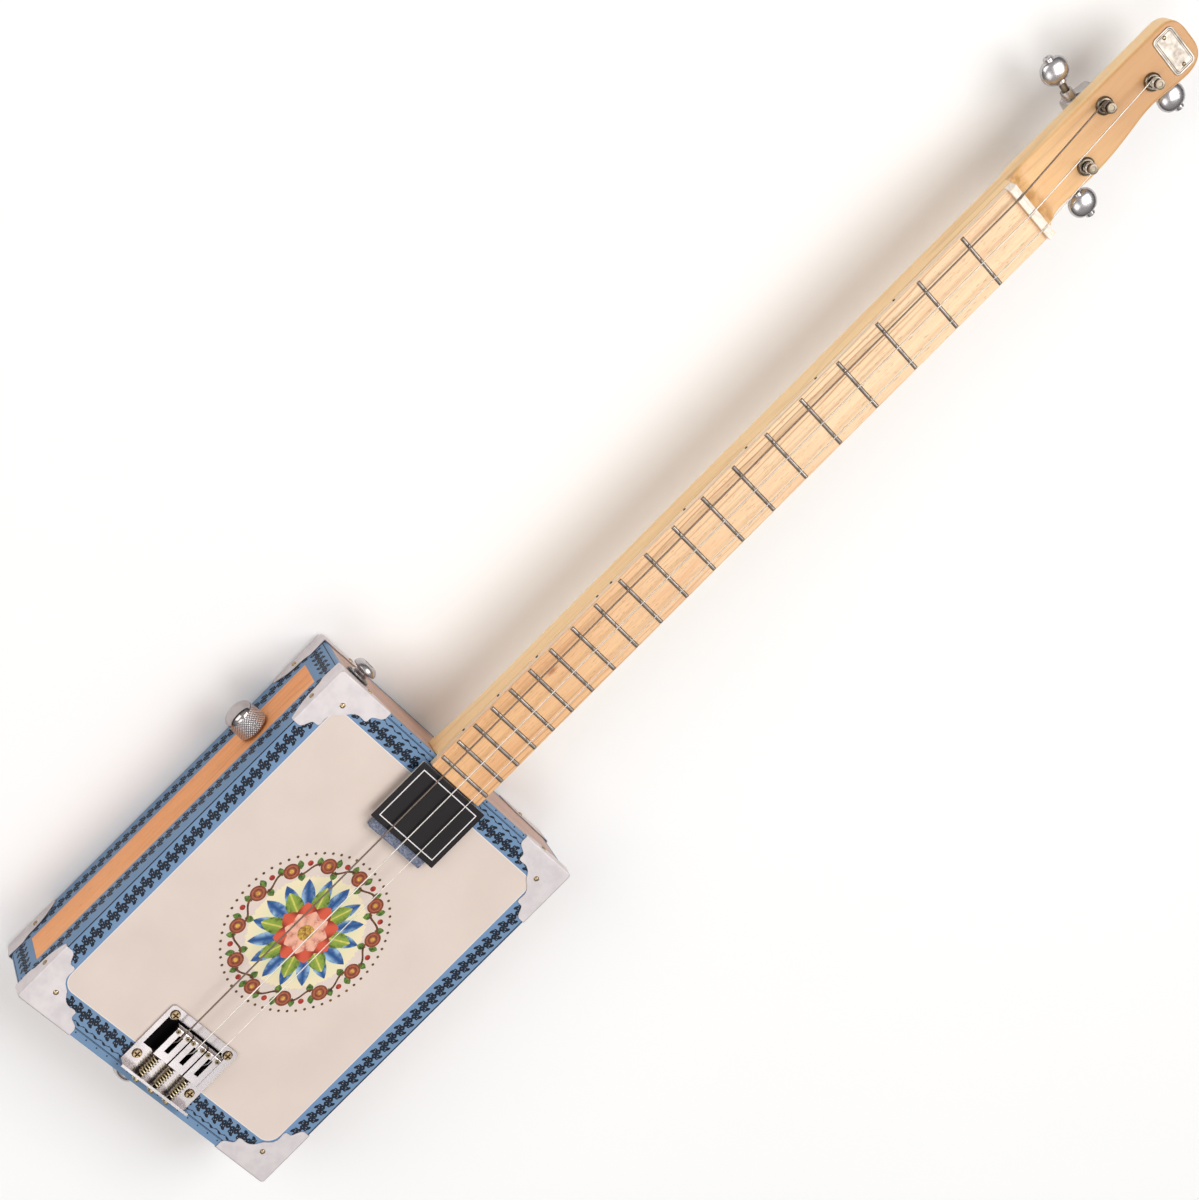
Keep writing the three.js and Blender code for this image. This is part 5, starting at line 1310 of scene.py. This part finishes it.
# Volume control, jack, strap buttons and leads
def make_controls():
    aim = towards((-1, 0, 0), (-HALF_WIDTH, KNOB["y"], KNOB["z"]))
    knob = turned([*KNOB_SKIRT_PROFILE, *dome(KNOB["top_radius"], KNOB["dome"], 14, KNOB["dome_from"])], 96)
    piece("volume_knob_look", moved(knob, aim), "knob", ("volume_knob",), BODY_OF["volume_knob"],
          sharp=45.0)
    for node in ("pot_body", "pot_nut", "pot_shaft", "jack_body"):
        dressed(node, "steel", 0.15)
    dressed("jack_nut", "chrome", 0.3)


def cross_slotted_head():
    """Screw head with a cross cut in it, its underside at zero."""
    result = mesh_of("head", turned(STRAP_SCREW_PROFILE, 32))
    for turn in (0, math.pi / 2):
        arm = moved(block(*CROSS_ARM), Matrix.Rotation(turn, 4, "Z"))
        body = new_object("cut body", result)
        tool = new_object("cut tool", mesh_of("tool", arm))
        cutting = body.modifiers.new("cut", "BOOLEAN")
        cutting.operation = "DIFFERENCE"
        cutting.object = tool
        result = evaluated(body)
        bpy.data.objects.remove(tool)
    return result


def make_strap_buttons():
    profile = [*STRAP_BASE_PROFILE, *smooth_path(STRAP_NECK_PROFILE, 4), *STRAP_HEAD_PROFILE]
    head = cross_slotted_head()
    for end, origin, way in STRAP_PLACES:
        aim = towards((0, way, 0), origin)
        button = moved(turned(profile, 48), aim @ Matrix.Translation((0, 0, FELT_HEIGHT)))
        piece(f"strap_button_{end}_look", button, "chrome", (f"strap_button_{end}",), sharp=45.0)
        screw = head.copy()
        seat = Matrix.Translation((0, 0, FELT_HEIGHT + STRAP_SEAT))
        screw.transform(Matrix.Scale(MM, 4) @ aim @ seat @ Matrix.Scale(1 / MM, 4))
        piece(f"strap_screw_{end}", screw, "steel")
        washer = moved(turned(FELT_PROFILE, 40), aim)
        piece(f"strap_felt_{end}_look", washer, "felt", (f"strap_felt_{end}",))


def make_leads():
    for node in ("pickup_lead", "jack_lead"):
        dressed(node, "jacket", 0)


make_box()
make_corners()
make_neck()
make_fretboard()
make_head_plate()
make_tuners()
make_bridge()
make_strings()
make_pickup()
make_controls()
make_strap_buttons()
make_leads()


# Floor, light and camera
def make_stage():
    low = frame_box[0].z
    mesh = bpy.data.meshes.new("floor")
    corners = [(x * FLOOR_HALF, y * FLOOR_HALF, low) for x, y in ((-1, -1), (1, -1), (1, 1), (-1, 1))]
    mesh.from_pydata(corners, [], [(0, 1, 2, 3)])
    floor = new_object("floor", mesh)
    finish = Finish("floor")
    cloud = finish.place.noise(0.004, 2.0)
    mesh.materials.append(finish.done(finish.mix(cloud, "F7F6F5", "F4F3F2"), 0.9))


def make_lights():
    for name, place, aim, size, power in LIGHTS:
        data = bpy.data.lights.new(name, "AREA")
        data.size = size
        data.energy = power
        lamp = new_object(name, data)
        lamp.matrix_world = towards(Vector(place) - Vector(aim), place)
    world = bpy.data.worlds.new("studio")
    bpy.context.scene.world = world
    world.use_nodes = True
    background = world.node_tree.nodes["Background"]
    up = shader_node(world.node_tree, "TexCoord", {}, "Generated").split()[2]
    colour = blended(world.node_tree, up.eased(0.05, 0.8), HORIZON, ZENITH)
    connect(world.node_tree, colour, background.inputs["Color"])
    background.inputs["Strength"].default_value = SKY_STRENGTH


def make_camera():
    data = bpy.data.cameras.new("camera")
    data.lens = CAMERA_LENS
    data.sensor_width = CAMERA_SENSOR
    data.sensor_fit = "AUTO"
    data.clip_start = 0.01
    camera = new_object("camera", data)
    view = Vector(CAMERA_VIEW).normalized()
    right = view.cross(Vector(CAMERA_UP)).normalized()
    turn = Matrix((right, right.cross(view), -view)).transposed().to_4x4()
    camera.matrix_world = Matrix.Translation(Vector(CAMERA_PLACE) * MM) @ turn
    bpy.context.scene.camera = camera


make_stage()
make_lights()
bpy.context.scene.view_settings.view_transform = "Standard"
make_camera()
